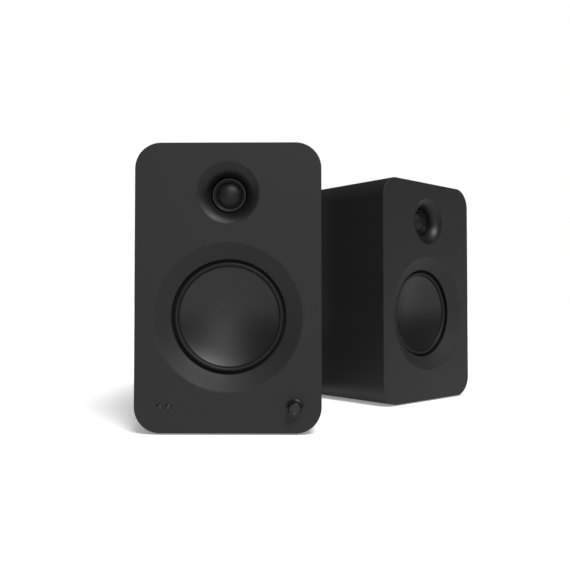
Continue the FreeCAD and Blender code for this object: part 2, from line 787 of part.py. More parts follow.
def binding_posts(side):
    """Two studs on insulating bases, with nuts inside and a cross hole for bare wire."""
    nut_front, nut_back = "-plate_thickness - post_nut_thickness", "-plate_thickness"
    nut, bottom = "post_radius + post_nut_rim", "post_length - banana_depth"
    wire_depth = "post_base_height + 2 * motion_gap + post_washer_thickness + wire_hole_radius"
    posts = []
    for x, z in post_places(side):
        stud = turned([
            ("-post_inside", "0"), ("-post_inside", "post_radius"), (nut_front, "post_radius"),
            (nut_front, nut), (nut_back, nut), (nut_back, "post_radius"), ("0", "post_radius"),
            ("0", "post_base_radius"),
            ("post_base_height", "post_base_radius"), ("post_base_height", "post_radius"),
            ("post_length", "post_radius"), ("post_length", "banana_radius"), (bottom, "banana_radius"),
            (bottom, "0"),
        ])
        wire_hole = disc("wire_hole_radius", "2 * post_radius + 2", "0", wire_depth, "-post_radius - 1")
        posts.append(move(cut(stud, [wire_hole]), x, PLATE_DEPTH, z))
    sub_part(side, "binding_posts", group(posts))


def post_caps(side):
    """Each post's clamping washer, and its cap, open at the end for a banana plug."""
    washer_start = "post_base_height + motion_gap"
    start = f"({washer_start} + post_washer_thickness + fit_gap)"
    end = f"({start} + post_cap_length)"
    inside, shoulder = "post_radius + fit_gap", "(post_length + 0.2)"
    for colour, (x, z) in zip(("black", "red"), post_places(side)):
        washer = tube("post_cap_radius", "post_radius + 2 * fit_gap", washer_start,
                      "post_washer_thickness")
        sub_part(side, f"post_washer_{colour}", washer, x, PLATE_DEPTH, z)
        cap = turned([
            (start, inside), (shoulder, inside), (shoulder, "banana_radius + 0.6"),
            (end, "banana_radius + 0.6"), (end, "post_cap_radius - 1"), (f"{end} - 1", "post_cap_radius"),
            (start, "post_cap_radius"),
        ])
        sub_part(side, f"post_cap_{colour}", cap, x, PLATE_DEPTH, z)


# ---- pieces of the main speaker only ----

def volume_control():
    """A knob on a shaft that turns in the encoder and also presses its plunger."""
    back, dish = "-knob_gap", "knob_front_radius - 1.1"
    knob = turned([
        (back, "shaft_radius"), (back, "knob_base_radius"), (f"{back} - 0.8", "knob_base_radius"),
        ("-knob_height + 0.5", "knob_front_radius", "14", "right"),
        ("-knob_height", "knob_front_radius - 0.5"),
        ("-knob_height", dish), ("-knob_height + 0.4", "0", cap_sphere(dish, "0.4"), "right"),
        ("-knob_height + 3", "0"), ("-knob_height + 3", "shaft_radius"),
    ])
    sub_part("main", "volume_knob", knob, KNOB_X, "0", KNOB_Z)
    shaft = turned([
        ("-knob_height + 3", "0"), (SHAFT_END, "0"), (SHAFT_END, "shaft_radius"),
        ("-knob_height + 3", "shaft_radius"),
    ])
    sub_part("main", "encoder_shaft", shaft, KNOB_X, "0", KNOB_Z)
    start = f"({SHAFT_END} + fit_gap)"
    plunger = turned([
        (start, "0"), (f"{start} + 4", "0"), (f"{start} + 4", "1.5"), (f"{start} + 0.6", "1.5"),
        (f"{start} + 0.6", "2.6"), (start, "2.6"),
    ])
    sub_part("main", "encoder_plunger", plunger, KNOB_X, "0", KNOB_Z)


def control_board():
    """A board behind the front with the encoder's housing, the receiver and the lamp on it."""
    width = "encoder_width"
    housing = centred_block(KNOB_X, ENCODER_DEPTH, KNOB_Z, width, "encoder_depth", width)
    chamber = f"({SHAFT_END} + press_travel + 1 - {ENCODER_DEPTH})"
    bores = [
        rod("shaft_radius + 2 * fit_gap", chamber, KNOB_X, ENCODER_DEPTH, KNOB_Z),
        rod("1.5 + 2 * fit_gap", f"encoder_depth - {chamber}", KNOB_X, f"{ENCODER_DEPTH} + {chamber}",
            KNOB_Z),
    ]
    left = f"({WINDOW_X[0]} - 5)"
    board = block(left, BOARD_DEPTH, f"{KNOB_Z} - 6", f"{KNOB_X} + 7 - {left}", "board_thickness", "16")
    spacers = [rod("2.5", f"{BOARD_DEPTH} - baffle_thickness", x, "baffle_thickness", KNOB_Z)
               for x in ("-40", "40")]
    chips = [centred_block(x, f"{BOARD_DEPTH} - 2.5", WINDOW_Z, "5", "2.5", "5") for x in WINDOW_X]
    sub_part("main", "control_board", group([cut(housing, bores), board] + spacers + chips))
    windows = [rod("window_radius", "window_depth", x, "0", WINDOW_Z) for x in WINDOW_X]
    sub_part("main", "front_windows", group(windows))


def signal_inputs():
    phonos = []
    for x in PHONO_X:
        jack = turned([
            ("-12", "0"), ("-12", "phono_bore_radius"), ("0", "phono_bore_radius"),
            ("0", "phono_radius + 1.4"),
            ("1.2", "phono_radius + 1.4"), ("1.2", "phono_radius"), ("phono_length", "phono_radius"),
            ("phono_length", "phono_pin_bore"), ("1", "phono_pin_bore"), ("1", "0"),
        ])
        phonos.append(move(jack, x, PLATE_DEPTH, INPUTS_Z))
    sub_part("main", "phono_jacks", group(phonos))
    aux = turned([
        ("-aux_bore_depth", "0"), ("-aux_bore_depth", "aux_outer_radius - 1"), ("0", "aux_outer_radius - 1"),
        ("0", "aux_outer_radius"), ("1", "aux_outer_radius"), ("1", "aux_bore_radius"),
        ("1 - aux_bore_depth", "aux_bore_radius"), ("1 - aux_bore_depth", "0"),
    ])
    sub_part("main", "aux_jack", aux, "aux_x", PLATE_DEPTH, INPUTS_Z)
    wide, hole = "optical_width", "optical_cavity"
    housing = centred_block("0", "-optical_depth", "0", wide, "optical_depth + 0.6", wide)
    cavity = centred_block("0", "-optical_depth + 1", "0", hole, "optical_depth", hole)
    sub_part("main", "optical_jack", cut(housing, [cavity]), "optical_x", PLATE_DEPTH, INPUTS_Z)
    flap = "(optical_cavity - 2 * motion_gap)"
    plate = centred_block("0", "-shutter_thickness", f"{OPTICAL_TOP} - motion_gap - {flap} / 2", flap,
                          "shutter_thickness", f"{flap} - 0.6")
    pivot = pin("shutter_thickness", flap, y="-shutter_thickness",
                z=f"{OPTICAL_TOP} - motion_gap - shutter_thickness")
    sub_part("main", "optical_shutter", join([plate, pivot]), "optical_x", PLATE_DEPTH, INPUTS_Z)


def power_entry():
    """One moulded housing with the two-pin inlet below and the rocker switch above."""
    up = "(foot_height + inlet_up)"
    front = "(cabinet_depth + plate_thickness + inlet_proud)"
    housing = centred_block("inlet_x", f"{front} - inlet_depth", up, "inlet_width", "inlet_depth",
                            "inlet_height")
    socket_z, socket_bottom = f"({up} + socket_up)", f"{front} - socket_depth"
    stadium = rounded("socket_width", "socket_height", "socket_height * 0.499", x="inlet_x", z=socket_z)
    socket = panel([stadium], "socket_depth + 1")
    recess = centred_block("inlet_x", f"{front} - rocker_recess_depth", ROCKER_Z,
                           "rocker_width + 2 * motion_gap", "rocker_recess_depth + 1", "rocker_height + 2")
    pivot_y, pivot_length = f"{front} - rocker_thickness / 2 + 0.5", "rocker_width + 2 * trunnion_length"
    bearing = pin("trunnion_radius + fit_gap", f"{pivot_length} + 2 * motion_gap", "inlet_x", pivot_y,
                  ROCKER_Z)
    body = cut(housing, [move(socket, y=socket_bottom), recess, bearing])
    pins = [rod("pin_radius", "socket_depth - 2", x, socket_bottom, socket_z)
            for x in ("inlet_x - pin_spacing / 2", "inlet_x + pin_spacing / 2")]
    sub_part("main", "mains_inlet", join([body] + pins))
    profile = doc.addObject("PartDesign::Body", "rocker")
    sketch = sketch_on(profile, "YZ_Plane")
    high = "rocker_height / 2"
    low, top = "-rocker_thickness / 2", "rocker_thickness / 2 + 1"
    outline(sketch, [
        (low, f"-{high} * 0.7"), (top, f"-{high}"), (top, high, "rocker_height * 2.2", "left"),
        (low, f"{high} * 0.7"),
    ])
    pad = profile.newObject("PartDesign::Pad", "pad")
    pad.Profile = sketch
    pad.Midplane = True
    bind(pad, Length="rocker_width")
    profile.Placement = FreeCAD.Placement(FreeCAD.Vector(), FreeCAD.Rotation(FreeCAD.Vector(1, 0, 0), 1))
    profile.setExpression("Placement.Rotation.Angle", bound("rocker_angle"))
    rocker = join([profile, pin("trunnion_radius", pivot_length)])
    sub_part("main", "power_rocker", rocker, "inlet_x", pivot_y, ROCKER_Z)


def board_with_parts(name, side, width, height, up, depth, parts):
    """A circuit board parallel to the rear plate, its parts standing on its front as separate solids."""
    board = centred_block("0", depth, up, width, "board_thickness", height)
    items = [board]
    for shape, x, z, across, tall, deep in parts:
        if shape == "can":
            items.append(rod(across, deep, x, f"{depth} - ({deep})", f"{up} + {z}"))
        else:
            items.append(centred_block(x, f"{depth} - ({deep})", f"{up} + {z}", across, deep, tall))
    sub_part(side, name, group(items))


def boards():
    amp_up, supply_up = "(foot_height + amp_board_up)", "(foot_height + supply_board_up)"
    board_with_parts("amp_board", "main", "amp_board_width", "amp_board_height", amp_up,
                     "(cabinet_depth - back_thickness - amp_board_gap)", [
                         ("block", "-30", "8", "40", "26", "22"), ("can", "14", "14", "9", "0", "26"),
                         ("can", "36", "14", "9", "0", "26"), ("block", "24", "-14", "30", "12", "9"),
                     ])
    board_with_parts("power_supply", "main", "supply_board_width", "supply_board_height", supply_up,
                     "(cabinet_depth - back_thickness - supply_board_gap)", [
                         ("block", "0", "0", "36", "32", "28"), ("can", "-38", "4", "10", "0", "30"),
                         ("block", "38", "0", "18", "24", "16"),
                     ])
    terminal_up = "(foot_height + terminal_plate_up)"
    board_with_parts("crossover_board", "satellite", "crossover_width", "crossover_height", terminal_up,
                     "(cabinet_depth - back_thickness - crossover_gap)", [
                         ("can", "-22", "4", "15", "0", "20"), ("can", "20", "12", "8", "0", "24"),
                         ("block", "22", "-14", "30", "10", "9"),
                     ])


for speaker in STANDS:
    cabinet(speaker)
    front_baffle(speaker)
    back_board(speaker)
    port_tube(speaker)
    feet(speaker)
    screws(speaker)
    woofer_basket(speaker)
    woofer_surround(speaker)
    woofer_cone(speaker)
    woofer_voice_coil(speaker)
    woofer_spider(speaker)
    woofer_motor(speaker)
    tweeter_waveguide(speaker)
    tweeter_trim_ring(speaker)
    tweeter_dome(speaker)
    tweeter_motor(speaker)
    rear_plate(speaker)
    binding_posts(speaker)
    post_caps(speaker)
volume_control()
control_board()
signal_inputs()
power_entry()
boards()

doc.recompute()
for item in doc.Objects:
    if "Invalid" in item.State or "Error" in item.State:
        raise RuntimeError(f"{item.Name} did not compute: {item.State}")
for item in sub_parts:
    if item.Shape.isNull() or not item.Shape.isValid():
        raise RuntimeError(f"{item.Label} has no valid shape")

os.makedirs("parts", exist_ok=True)
for item in sub_parts:
    item.Shape.exportStep(f"parts/{item.Label}.step")
    print(item.Label, len(item.Shape.Solids), round(item.Shape.Volume, 1))
print(len(sub_parts), "sub-parts")
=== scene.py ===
import math

import bmesh
import bpy
from mathutils import Matrix, Vector, geometry
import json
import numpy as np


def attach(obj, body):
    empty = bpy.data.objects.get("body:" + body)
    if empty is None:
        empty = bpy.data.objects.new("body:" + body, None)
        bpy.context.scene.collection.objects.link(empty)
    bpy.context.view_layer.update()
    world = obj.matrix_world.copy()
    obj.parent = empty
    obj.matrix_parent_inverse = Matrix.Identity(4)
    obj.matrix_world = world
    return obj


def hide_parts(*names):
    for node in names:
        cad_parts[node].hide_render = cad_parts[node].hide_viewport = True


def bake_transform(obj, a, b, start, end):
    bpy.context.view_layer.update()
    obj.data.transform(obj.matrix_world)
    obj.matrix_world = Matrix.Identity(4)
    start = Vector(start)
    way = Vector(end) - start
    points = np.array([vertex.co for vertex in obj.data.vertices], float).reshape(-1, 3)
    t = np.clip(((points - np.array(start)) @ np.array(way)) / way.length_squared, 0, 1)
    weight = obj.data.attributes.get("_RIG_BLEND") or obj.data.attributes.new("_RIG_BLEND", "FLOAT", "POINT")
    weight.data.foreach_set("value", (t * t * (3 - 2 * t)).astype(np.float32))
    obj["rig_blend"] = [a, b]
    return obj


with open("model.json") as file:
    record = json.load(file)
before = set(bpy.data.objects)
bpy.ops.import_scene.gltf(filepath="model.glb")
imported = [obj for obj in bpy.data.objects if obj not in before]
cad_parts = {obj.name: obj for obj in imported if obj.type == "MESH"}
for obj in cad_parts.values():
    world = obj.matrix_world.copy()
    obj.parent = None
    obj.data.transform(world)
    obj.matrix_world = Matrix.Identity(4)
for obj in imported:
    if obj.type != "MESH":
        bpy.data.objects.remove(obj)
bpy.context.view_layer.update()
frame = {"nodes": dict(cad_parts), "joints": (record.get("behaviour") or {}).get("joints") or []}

MM = 0.001
ROUND = 160          # segments of a large round piece
SMALL_ROUND = 64     # segments of a small one
CORNER = 28          # segments of a cabinet's rounded corner
SOFT = 5             # segments of a softened edge
TINY = 1e-7          # a radius below this is on the axis


# ---- places

class Speaker:
    """A speaker's own frame: x to its right, y back from its front face, z up from the desk."""

    def __init__(self, side):
        self.side = side
        travel = next(j for j in frame["joints"] if j["name"] == f"{side}_woofer_travel")
        out = Vector(travel["axis"]).normalized()
        self.right, self.back = Vector((-out.y, out.x, 0)), -out
        self.origin = Vector((0, 0, 0))  # box() measures from it, so it starts at the frame's own
        low, high = self.box("front_baffle")
        self.origin = self.right * (low.x + high.x) / 2 + self.back * low.y
        self.matrix = Matrix.Translation(self.origin) @ Matrix((
            (self.right.x, self.back.x, 0, 0),
            (self.right.y, self.back.y, 0, 0),
            (0, 0, 1, 0),
            (0, 0, 0, 1),
        ))

    def box(self, name):
        """The lowest and highest corners of one of its CAD nodes, in its own frame."""
        points = [v.co - self.origin for v in frame["nodes"][f"{self.side}_{name}"].data.vertices]
        x, y = [p.dot(self.right) for p in points], [p.dot(self.back) for p in points]
        z = [p.z for p in points]
        return Vector((min(x), min(y), min(z))), Vector((max(x), max(y), max(z)))

    def middle(self, name):
        low, high = self.box(name)
        return (low + high) / 2

    def plate(self):
        """The name of its rear plate."""
        return "amp_plate" if self.side == "main" else "terminal_plate"


# ---- mesh building

class Shell:
    """Vertices and faces of one piece, in its speaker's frame."""

    def __init__(self):
        self.points, self.faces, self.flat = [], [], set()

    def ring(self, points):
        start = len(self.points)
        self.points += [Vector(p) for p in points]
        return list(range(start, len(self.points)))

    def bridge(self, first, second):
        count = len(first)
        for i in range(count):
            j = (i + 1) % count
            self.faces.append((first[i], first[j], second[j], second[i]))

    def loft(self, rings):
        for first, second in zip(rings, rings[1:]):
            self.bridge(first, second)

    def fan(self, ring, point):
        tip = self.ring([point])[0]
        for i in range(len(ring)):
            self.faces.append((ring[i], ring[(i + 1) % len(ring)], tip))

    def fill(self, outer, holes=()):
        """A flat face inside the outer ring and outside the holes."""
        loops = [outer, *holes]
        flat = [index for loop in loops for index in loop]
        for triangle in geometry.tessellate_polygon([[self.points[i] for i in loop] for loop in loops]):
            self.flat.add(len(self.faces))
            self.faces.append(tuple(flat[i] for i in triangle))

    def add(self, other, offset=(0, 0, 0)):
        start, count, offset = len(self.points), len(self.faces), Vector(offset)
        self.points += [p + offset for p in other.points]
        self.faces += [tuple(i + start for i in face) for face in other.faces]
        self.flat |= {i + count for i in other.flat}


def arc(start, end, radius, turn, steps=16):
    """Points from start to end along the shorter arc that turns "left" or "right"."""
    a, b = Vector(start[:2]), Vector(end[:2])
    run = b - a
    offset = math.sqrt(max(radius**2 - run.length_squared / 4, 0))
    left = Vector((-run.y, run.x)).normalized()
    centre = (a + b) / 2 + left * (offset if turn == "left" else -offset)
    first = math.atan2(a.y - centre.y, a.x - centre.x)
    sweep = 2 * math.asin(min(run.length / 2 / radius, 1)) * (1 if turn == "left" else -1)
    angles = [first + sweep * i / steps for i in range(steps + 1)]
    return [(centre.x + radius * math.cos(t), centre.y + radius * math.sin(t)) for t in angles]


def softened(path):
    """A closed outline with a small round at each point that names one: (x, y, round)."""
    points = []
    for index, stop in enumerate(path):
        if len(stop) == 2:
            points.append(tuple(stop))
            continue
        here = Vector(stop[:2])
        before = (Vector(path[index - 1][:2]) - here).normalized()
        after = (Vector(path[(index + 1) % len(path)][:2]) - here).normalized()
        half = before.angle(after) / 2
        reach = stop[2] / math.tan(half)
        turn = "left" if before.x * after.y - before.y * after.x < 0 else "right"
        points += arc(here + before * reach, here + after * reach, stop[2], turn, SOFT)
    return points


def lathe(path, segments=ROUND, centre=(0, 0, 0)):
    """Turns a closed outline of (depth, radius) about a line along y through centre."""
    shell = Shell()
    x, y, z = centre
    rings = []
    for depth, radius in path:
        if radius < TINY:
            rings.append((x, y + depth, z))
        else:
            rings.append(shell.ring(at_depth(circle(radius, (x, z), segments), y + depth)))
    for first, second in zip(rings, rings[1:] + rings[:1]):
        on_axis = isinstance(first, tuple), isinstance(second, tuple)
        if on_axis == (False, False):
            shell.bridge(first, second)
        elif on_axis == (True, False):
            shell.fan(second, first)
        elif on_axis == (False, True):
            shell.fan(first, second)
    return shell


def rounded_rectangle(half_width, half_height, corner, centre=(0, 0), segments=CORNER):
    """(x, z) points of a rounded rectangle."""
    points = []
    for quarter, (sx, sz) in enumerate(((1, 1), (-1, 1), (-1, -1), (1, -1))):
        cx, cz = centre[0] + sx * (half_width - corner), centre[1] + sz * (half_height - corner)
        for step in range(segments + 1):
            angle = math.pi / 2 * (quarter + step / segments)
            points.append((cx + corner * math.cos(angle), cz + corner * math.sin(angle)))
    return points


def circle(radius, centre=(0, 0), segments=SMALL_ROUND):
    return [(centre[0] + radius * math.cos(2 * math.pi * i / segments),
             centre[1] + radius * math.sin(2 * math.pi * i / segments)) for i in range(segments)]


def at_depth(points, depth):
    return [(x, depth, z) for x, z in points]


def outline(low, high):
    """A box seen from behind: the (x, z) of its middle, and its half width and half height."""
    return ((low.x + high.x) / 2, (low.z + high.z) / 2), ((high.x - low.x) / 2, (high.z - low.z) / 2)


def edge_steps(radius, steps=6):
    """(inset, depth) of the rings that round a front edge, from the front face outwards."""
    angles = [math.pi / 2 * i / steps for i in range(steps + 1)]
    return [(radius * (1 - math.sin(t)), radius * (1 - math.cos(t))) for t in angles]


def round_hole(centre, radius, segments=SMALL_ROUND):
    return lambda grow: circle(radius + grow, centre, segments)


def square_hole(centre, half, corner, segments):
    return lambda grow: rounded_rectangle(half[0] + grow, half[1] + grow, corner, centre, segments)


def plate(half_width, half_height, corner, front, back, centre, edge, holes=(), segments=CORNER):
    """A flat plate with its outside face at back (facing +y), a rounded outside edge and holes through it.

    A hole is a function from a growth to its (x, z) points, so that its rim can be rounded as well.
    """
    shell = Shell()

    def outer(inset, depth):
        round_corner = max(corner - inset, edge / 4)
        ring = rounded_rectangle(half_width - inset, half_height - inset, round_corner, centre, segments)
        return shell.ring(at_depth(ring, depth))

    rings = [outer(inset, back - depth) for inset, depth in edge_steps(edge)]
    rings.append(outer(0, front))
    shell.loft(rings)
    face_holes, rear_holes = [], []
    for hole in holes:
        rim = [shell.ring(at_depth(hole(inset), back - depth)) for inset, depth in edge_steps(edge * 0.6, 3)]
        rim.append(shell.ring(at_depth(hole(0), front)))
        shell.loft(rim)
        face_holes.append(rim[0])
        rear_holes.append(rim[-1])
    shell.fill(rings[0], face_holes)
    shell.fill(rings[-1], rear_holes)
    return shell


def make(name, speaker, shell, material, body, replaces=(), sharp=32.0):
    """Makes the piece's mesh, in place, riding on its body and standing for its CAD nodes.

    Edges steeper than sharp degrees stay crisp. With no body, the piece is blended later.
    """
    mesh = bpy.data.meshes.new(name)
    mesh.from_pydata(shell.points, [], shell.faces)
    mesh.transform(speaker.matrix)
    work = bmesh.new()
    work.from_mesh(mesh)
    bmesh.ops.recalc_face_normals(work, faces=work.faces)
    for face in work.faces:
        face.smooth = True
    for edge in work.edges:
        flats = sum(face.index in shell.flat for face in edge.link_faces)
        steep = len(edge.link_faces) == 2 and edge.calc_face_angle(0) > math.radians(sharp)
        edge.smooth = not (flats == 1 or steep)
    work.to_mesh(mesh)
    work.free()
    piece = bpy.data.objects.new(name, mesh)
    bpy.context.scene.collection.objects.link(piece)
    mesh.materials.append(material)
    if body:
        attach(piece, body)
    if replaces:
        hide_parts(*(f"{speaker.side}_{node}" for node in replaces))
    return piece


def flex(piece, speaker, moving, centre, fixed_radius, moving_radius):
    """Lets a ring bend between the fixed frame at one radius and the moving cone at the other.
    """
    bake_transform(piece, speaker.side, moving, start=speaker.matrix @ Vector(centre),
             end=speaker.matrix @ (Vector(centre) + Vector((0, 1, 0))))
    inverse = speaker.matrix.inverted()
    weights = piece.data.attributes["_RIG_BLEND"].data
    for vertex, weight in zip(piece.data.vertices, weights):
        local = inverse @ vertex.co
        radius = math.hypot(local.x - centre[0], local.z - centre[2])
        share = (fixed_radius - radius) / (fixed_radius - moving_radius)
        weight.value = min(max(share, 0), 1)


# ---- materials

def node_tree(name):
    material = bpy.data.materials.new(name)
    material.use_nodes = True
    nodes, links = material.node_tree.nodes, material.node_tree.links
    return material, nodes, links, nodes["Principled BSDF"]


def mapped(nodes, links, scale=(1, 1, 1), location=(0, 0, 0), turn=0.0):
    """Object coordinates, moved, turned about z and scaled."""
    coordinates = nodes.new("ShaderNodeTexCoord")
    mapping = nodes.new("ShaderNodeMapping")
    mapping.vector_type = "TEXTURE"
    mapping.inputs["Location"].default_value = location
    mapping.inputs["Rotation"].default_value = (0, 0, turn)
    mapping.inputs["Scale"].default_value = [1 / s for s in scale]
    links.new(coordinates.outputs["Object"], mapping.inputs["Vector"])
    return mapping.outputs["Vector"]


def noise(nodes, links, vector, scale, detail=3.0, rough=0.5):
    texture = nodes.new("ShaderNodeTexNoise")
    texture.inputs["Scale"].default_value = scale
    texture.inputs["Detail"].default_value = detail
    texture.inputs["Roughness"].default_value = rough
    links.new(vector, texture.inputs["Vector"])
    return texture.outputs["Fac"]


def ranged(nodes, links, value, low, high):
    """A noise, which mostly runs from 0.3 to 0.7, spread over low to high."""
    spread = nodes.new("ShaderNodeMapRange")
    for socket, number in (("From Min", 0.3), ("From Max", 0.7), ("To Min", low), ("To Max", high)):
        spread.inputs[socket].default_value = number
    links.new(value, spread.inputs["Value"])
    return spread.outputs["Result"]


def tinted(nodes, links, value, colour, spread):
    """The colour, a share darker or lighter as value goes from 0 to 1."""
    mix = nodes.new("ShaderNodeMix")
    mix.data_type = "RGBA"
    mix.inputs["A"].default_value = [c * (1 - spread) for c in colour] + [1]
    mix.inputs["B"].default_value = [c * (1 + spread) for c in colour] + [1]
    links.new(value, mix.inputs["Factor"])
    return mix.outputs["Result"]


def bumped(nodes, links, shader, height, strength, distance):
    bump = nodes.new("ShaderNodeBump")
    bump.inputs["Strength"].default_value = strength
    bump.inputs["Distance"].default_value = distance
    links.new(height, bump.inputs["Height"])
    links.new(bump.outputs["Normal"], shader.inputs["Normal"])


def surface(name, colour, roughness, metallic=0.0, specular=0.5, grain=1800, bump=0.15, mottle=0.12,
            patch=30, rough_spread=0.06, stretch=(1, 1, 1)):
    """A moulded, painted, cast or plated finish: fine grain in its relief, broad patches in colour and gloss.

    grain and patch are noise scales; mottle and rough_spread are how far the patches go either way.
    """
    material, nodes, links, shader = node_tree(name)
    vector = mapped(nodes, links, scale=stretch)
    broad = noise(nodes, links, vector, patch, 4)
    fine = noise(nodes, links, vector, grain, 3, 0.6)
    links.new(tinted(nodes, links, broad, colour, mottle), shader.inputs["Base Color"])
    gloss = ranged(nodes, links, broad, roughness - rough_spread, roughness + rough_spread)
    links.new(gloss, shader.inputs["Roughness"])
    bumped(nodes, links, shader, fine, bump, 0.06 * MM)
    shader.inputs["Metallic"].default_value = metallic
    shader.inputs["Specular IOR Level"].default_value = specular
    return material


def radial_value(nodes, links, speaker, centre):
    """Coordinates in the speaker's axes from centre, and the distance from the line along y through it."""
    yaw = math.atan2(speaker.right.y, speaker.right.x)
    vector = mapped(nodes, links, location=speaker.matrix @ Vector(centre), turn=yaw)
    split = nodes.new("ShaderNodeSeparateXYZ")
    join = nodes.new("ShaderNodeCombineXYZ")
    length = nodes.new("ShaderNodeVectorMath")
    length.operation = "LENGTH"
    links.new(vector, split.inputs["Vector"])
    links.new(split.outputs["X"], join.inputs["X"])
    links.new(split.outputs["Z"], join.inputs["Z"])
    links.new(join.outputs["Vector"], length.inputs[0])
    return vector, length.outputs["Value"]


def spun(name, speaker, centre, colour, roughness, metallic, specular, lines=9000):
    """Spun or turned metal: fine rings round its own axis."""
    material, nodes, links, shader = node_tree(name)
    vector, radius = radial_value(nodes, links, speaker, centre)
    rings = nodes.new("ShaderNodeTexNoise")
    rings.noise_dimensions = "1D"
    rings.inputs["Scale"].default_value = lines
    rings.inputs["Detail"].default_value = 2
    links.new(radius, rings.inputs["W"])
    broad = noise(nodes, links, vector, 40, 3)
    links.new(tinted(nodes, links, broad, colour, 0.1), shader.inputs["Base Color"])
    gloss = ranged(nodes, links, rings.outputs["Fac"], roughness - 0.05, roughness + 0.05)
    links.new(gloss, shader.inputs["Roughness"])
    bumped(nodes, links, shader, rings.outputs["Fac"], 0.25, 0.02 * MM)
    shader.inputs["Metallic"].default_value = metallic
    shader.inputs["Specular IOR Level"].default_value = specular
    return material


def woven(name, colour, threads=1500, bump=0.5, roughness=0.8, specular=0.3):
    """A fine cloth: two sets of crossing threads."""
    material, nodes, links, shader = node_tree(name)
    vector = mapped(nodes, links)
    waves = []
    for direction in ("X", "Z"):
        wave = nodes.new("ShaderNodeTexWave")
        wave.bands_direction = direction
        wave.inputs["Scale"].default_value = threads / 6.28
        wave.inputs["Distortion"].default_value = 0.4
        links.new(vector, wave.inputs["Vector"])
        waves.append(wave.outputs["Fac"])
    weave = nodes.new("ShaderNodeMath")
    weave.operation = "MAXIMUM"
    links.new(waves[0], weave.inputs[0])
    links.new(waves[1], weave.inputs[1])
    broad = noise(nodes, links, vector, 120, 3)
    links.new(tinted(nodes, links, weave.outputs["Value"], colour, 0.35), shader.inputs["Base Color"])
    links.new(ranged(nodes, links, broad, roughness - 0.06, roughness + 0.06), shader.inputs["Roughness"])
    bumped(nodes, links, shader, weave.outputs["Value"], bump, 0.05 * MM)
    shader.inputs["Specular IOR Level"].default_value = specular
    return material


PAINT = surface("matt_black_paint", (0.0123, 0.0123, 0.0126), 0.55, specular=0.20, grain=2600, bump=0.10,
                mottle=0.05, rough_spread=0.03)
BOARD_PAINT = surface("back_board_paint", (0.0125, 0.0125, 0.0128), 0.6, specular=0.2, grain=1600, bump=0.25)
WAVEGUIDE = surface("waveguide_plastic", (0.0038, 0.0038, 0.0040), 0.45, specular=0.26, grain=3500,
                    bump=0.06, mottle=0.05)
PLASTIC = surface("black_moulded_plastic", (0.0125, 0.0125, 0.013), 0.48, specular=0.3, grain=2500,
                  bump=0.25)
GLOSS = surface("black_gloss_plastic", (0.010, 0.010, 0.0105), 0.22, specular=0.4, grain=900, bump=0.03,
                rough_spread=0.04)
RED = surface("red_gloss_plastic", (0.42, 0.012, 0.010), 0.28, specular=0.5, grain=900, bump=0.03,
              rough_spread=0.04)
WHITE = surface("white_insulator", (0.65, 0.64, 0.60), 0.4, grain=900, bump=0.03)
RUBBER = surface("surround_rubber", (0.0070, 0.0070, 0.0071), 0.50, specular=0.16, grain=4000, bump=0.12,
                 mottle=0.08)
FOOT = surface("foot_rubber", (0.012, 0.012, 0.012), 0.75, specular=0.3, grain=2200, bump=0.5, mottle=0.15)
POWDER = surface("powder_coat", (0.016, 0.016, 0.0165), 0.5, specular=0.4, grain=1500, bump=0.45, mottle=0.1)
SCREW = surface("black_oxide_steel", (0.035, 0.034, 0.033), 0.35, metallic=1.0, grain=1500, bump=0.12)
STEEL = surface("zinc_plated_steel", (0.55, 0.54, 0.50), 0.32, metallic=1.0, grain=900, bump=0.15,
                mottle=0.1)
FERRITE = surface("ferrite", (0.045, 0.045, 0.048), 0.7, grain=1200, bump=0.6, mottle=0.25)
GOLD = surface("gold_plating", (0.75, 0.52, 0.20), 0.22, metallic=1.0, grain=700, bump=0.05, mottle=0.06)
COPPER = surface("enamelled_copper", (0.55, 0.20, 0.08), 0.3, metallic=0.8, grain=300, bump=0.3,
                 stretch=(1, 12, 1))
GREEN = surface("solder_mask", (0.015, 0.085, 0.035), 0.35, grain=600, bump=0.3, mottle=0.3, patch=120)
SMOKED = surface("smoked_window", (0.0100, 0.0095, 0.0105), 0.22, specular=0.30, grain=500, bump=0.02,
                 rough_spread=0.03)
KNOB = surface("knob_satin", (0.0065, 0.0065, 0.0067), 0.30, specular=0.32, grain=3500, bump=0.08,
               mottle=0.06)
# A near-black sheet for the waveguide throat's floor: painted shade for the dark recess, not a real part of
# the tweeter
THROAT_SHADE = surface("throat_painted_shade", (0.002, 0.002, 0.002), 0.9, specular=0.05, grain=5000, bump=0.6, mottle=0.3)
SPIDER = woven("impregnated_cloth", (0.42, 0.26, 0.10), threads=900, bump=0.8)
DOME = woven("coated_silk", (0.0045, 0.0045, 0.0047), threads=2600, bump=0.2, roughness=0.46, specular=0.2)


# ---- the cabinets

BEVEL_RADIUS, BEVEL_DEPTH, LIP_RADIUS = 70.0 * MM, 9.4 * MM, 54.6 * MM
BAFFLE_CORNER, WALL, EDGE = 24.4 * MM, 12.0 * MM, 1.0 * MM
MOUTH_RADIUS = 29.3 * MM
HAIRLINE = 0.12 * MM  # the gap round a piece that is let in flush
WOOFER_SCREW_INSET, TWEETER_SCREW_INSET, PLATE_SCREW_INSET = 6.9 * MM, 3.1 * MM, 4.5 * MM


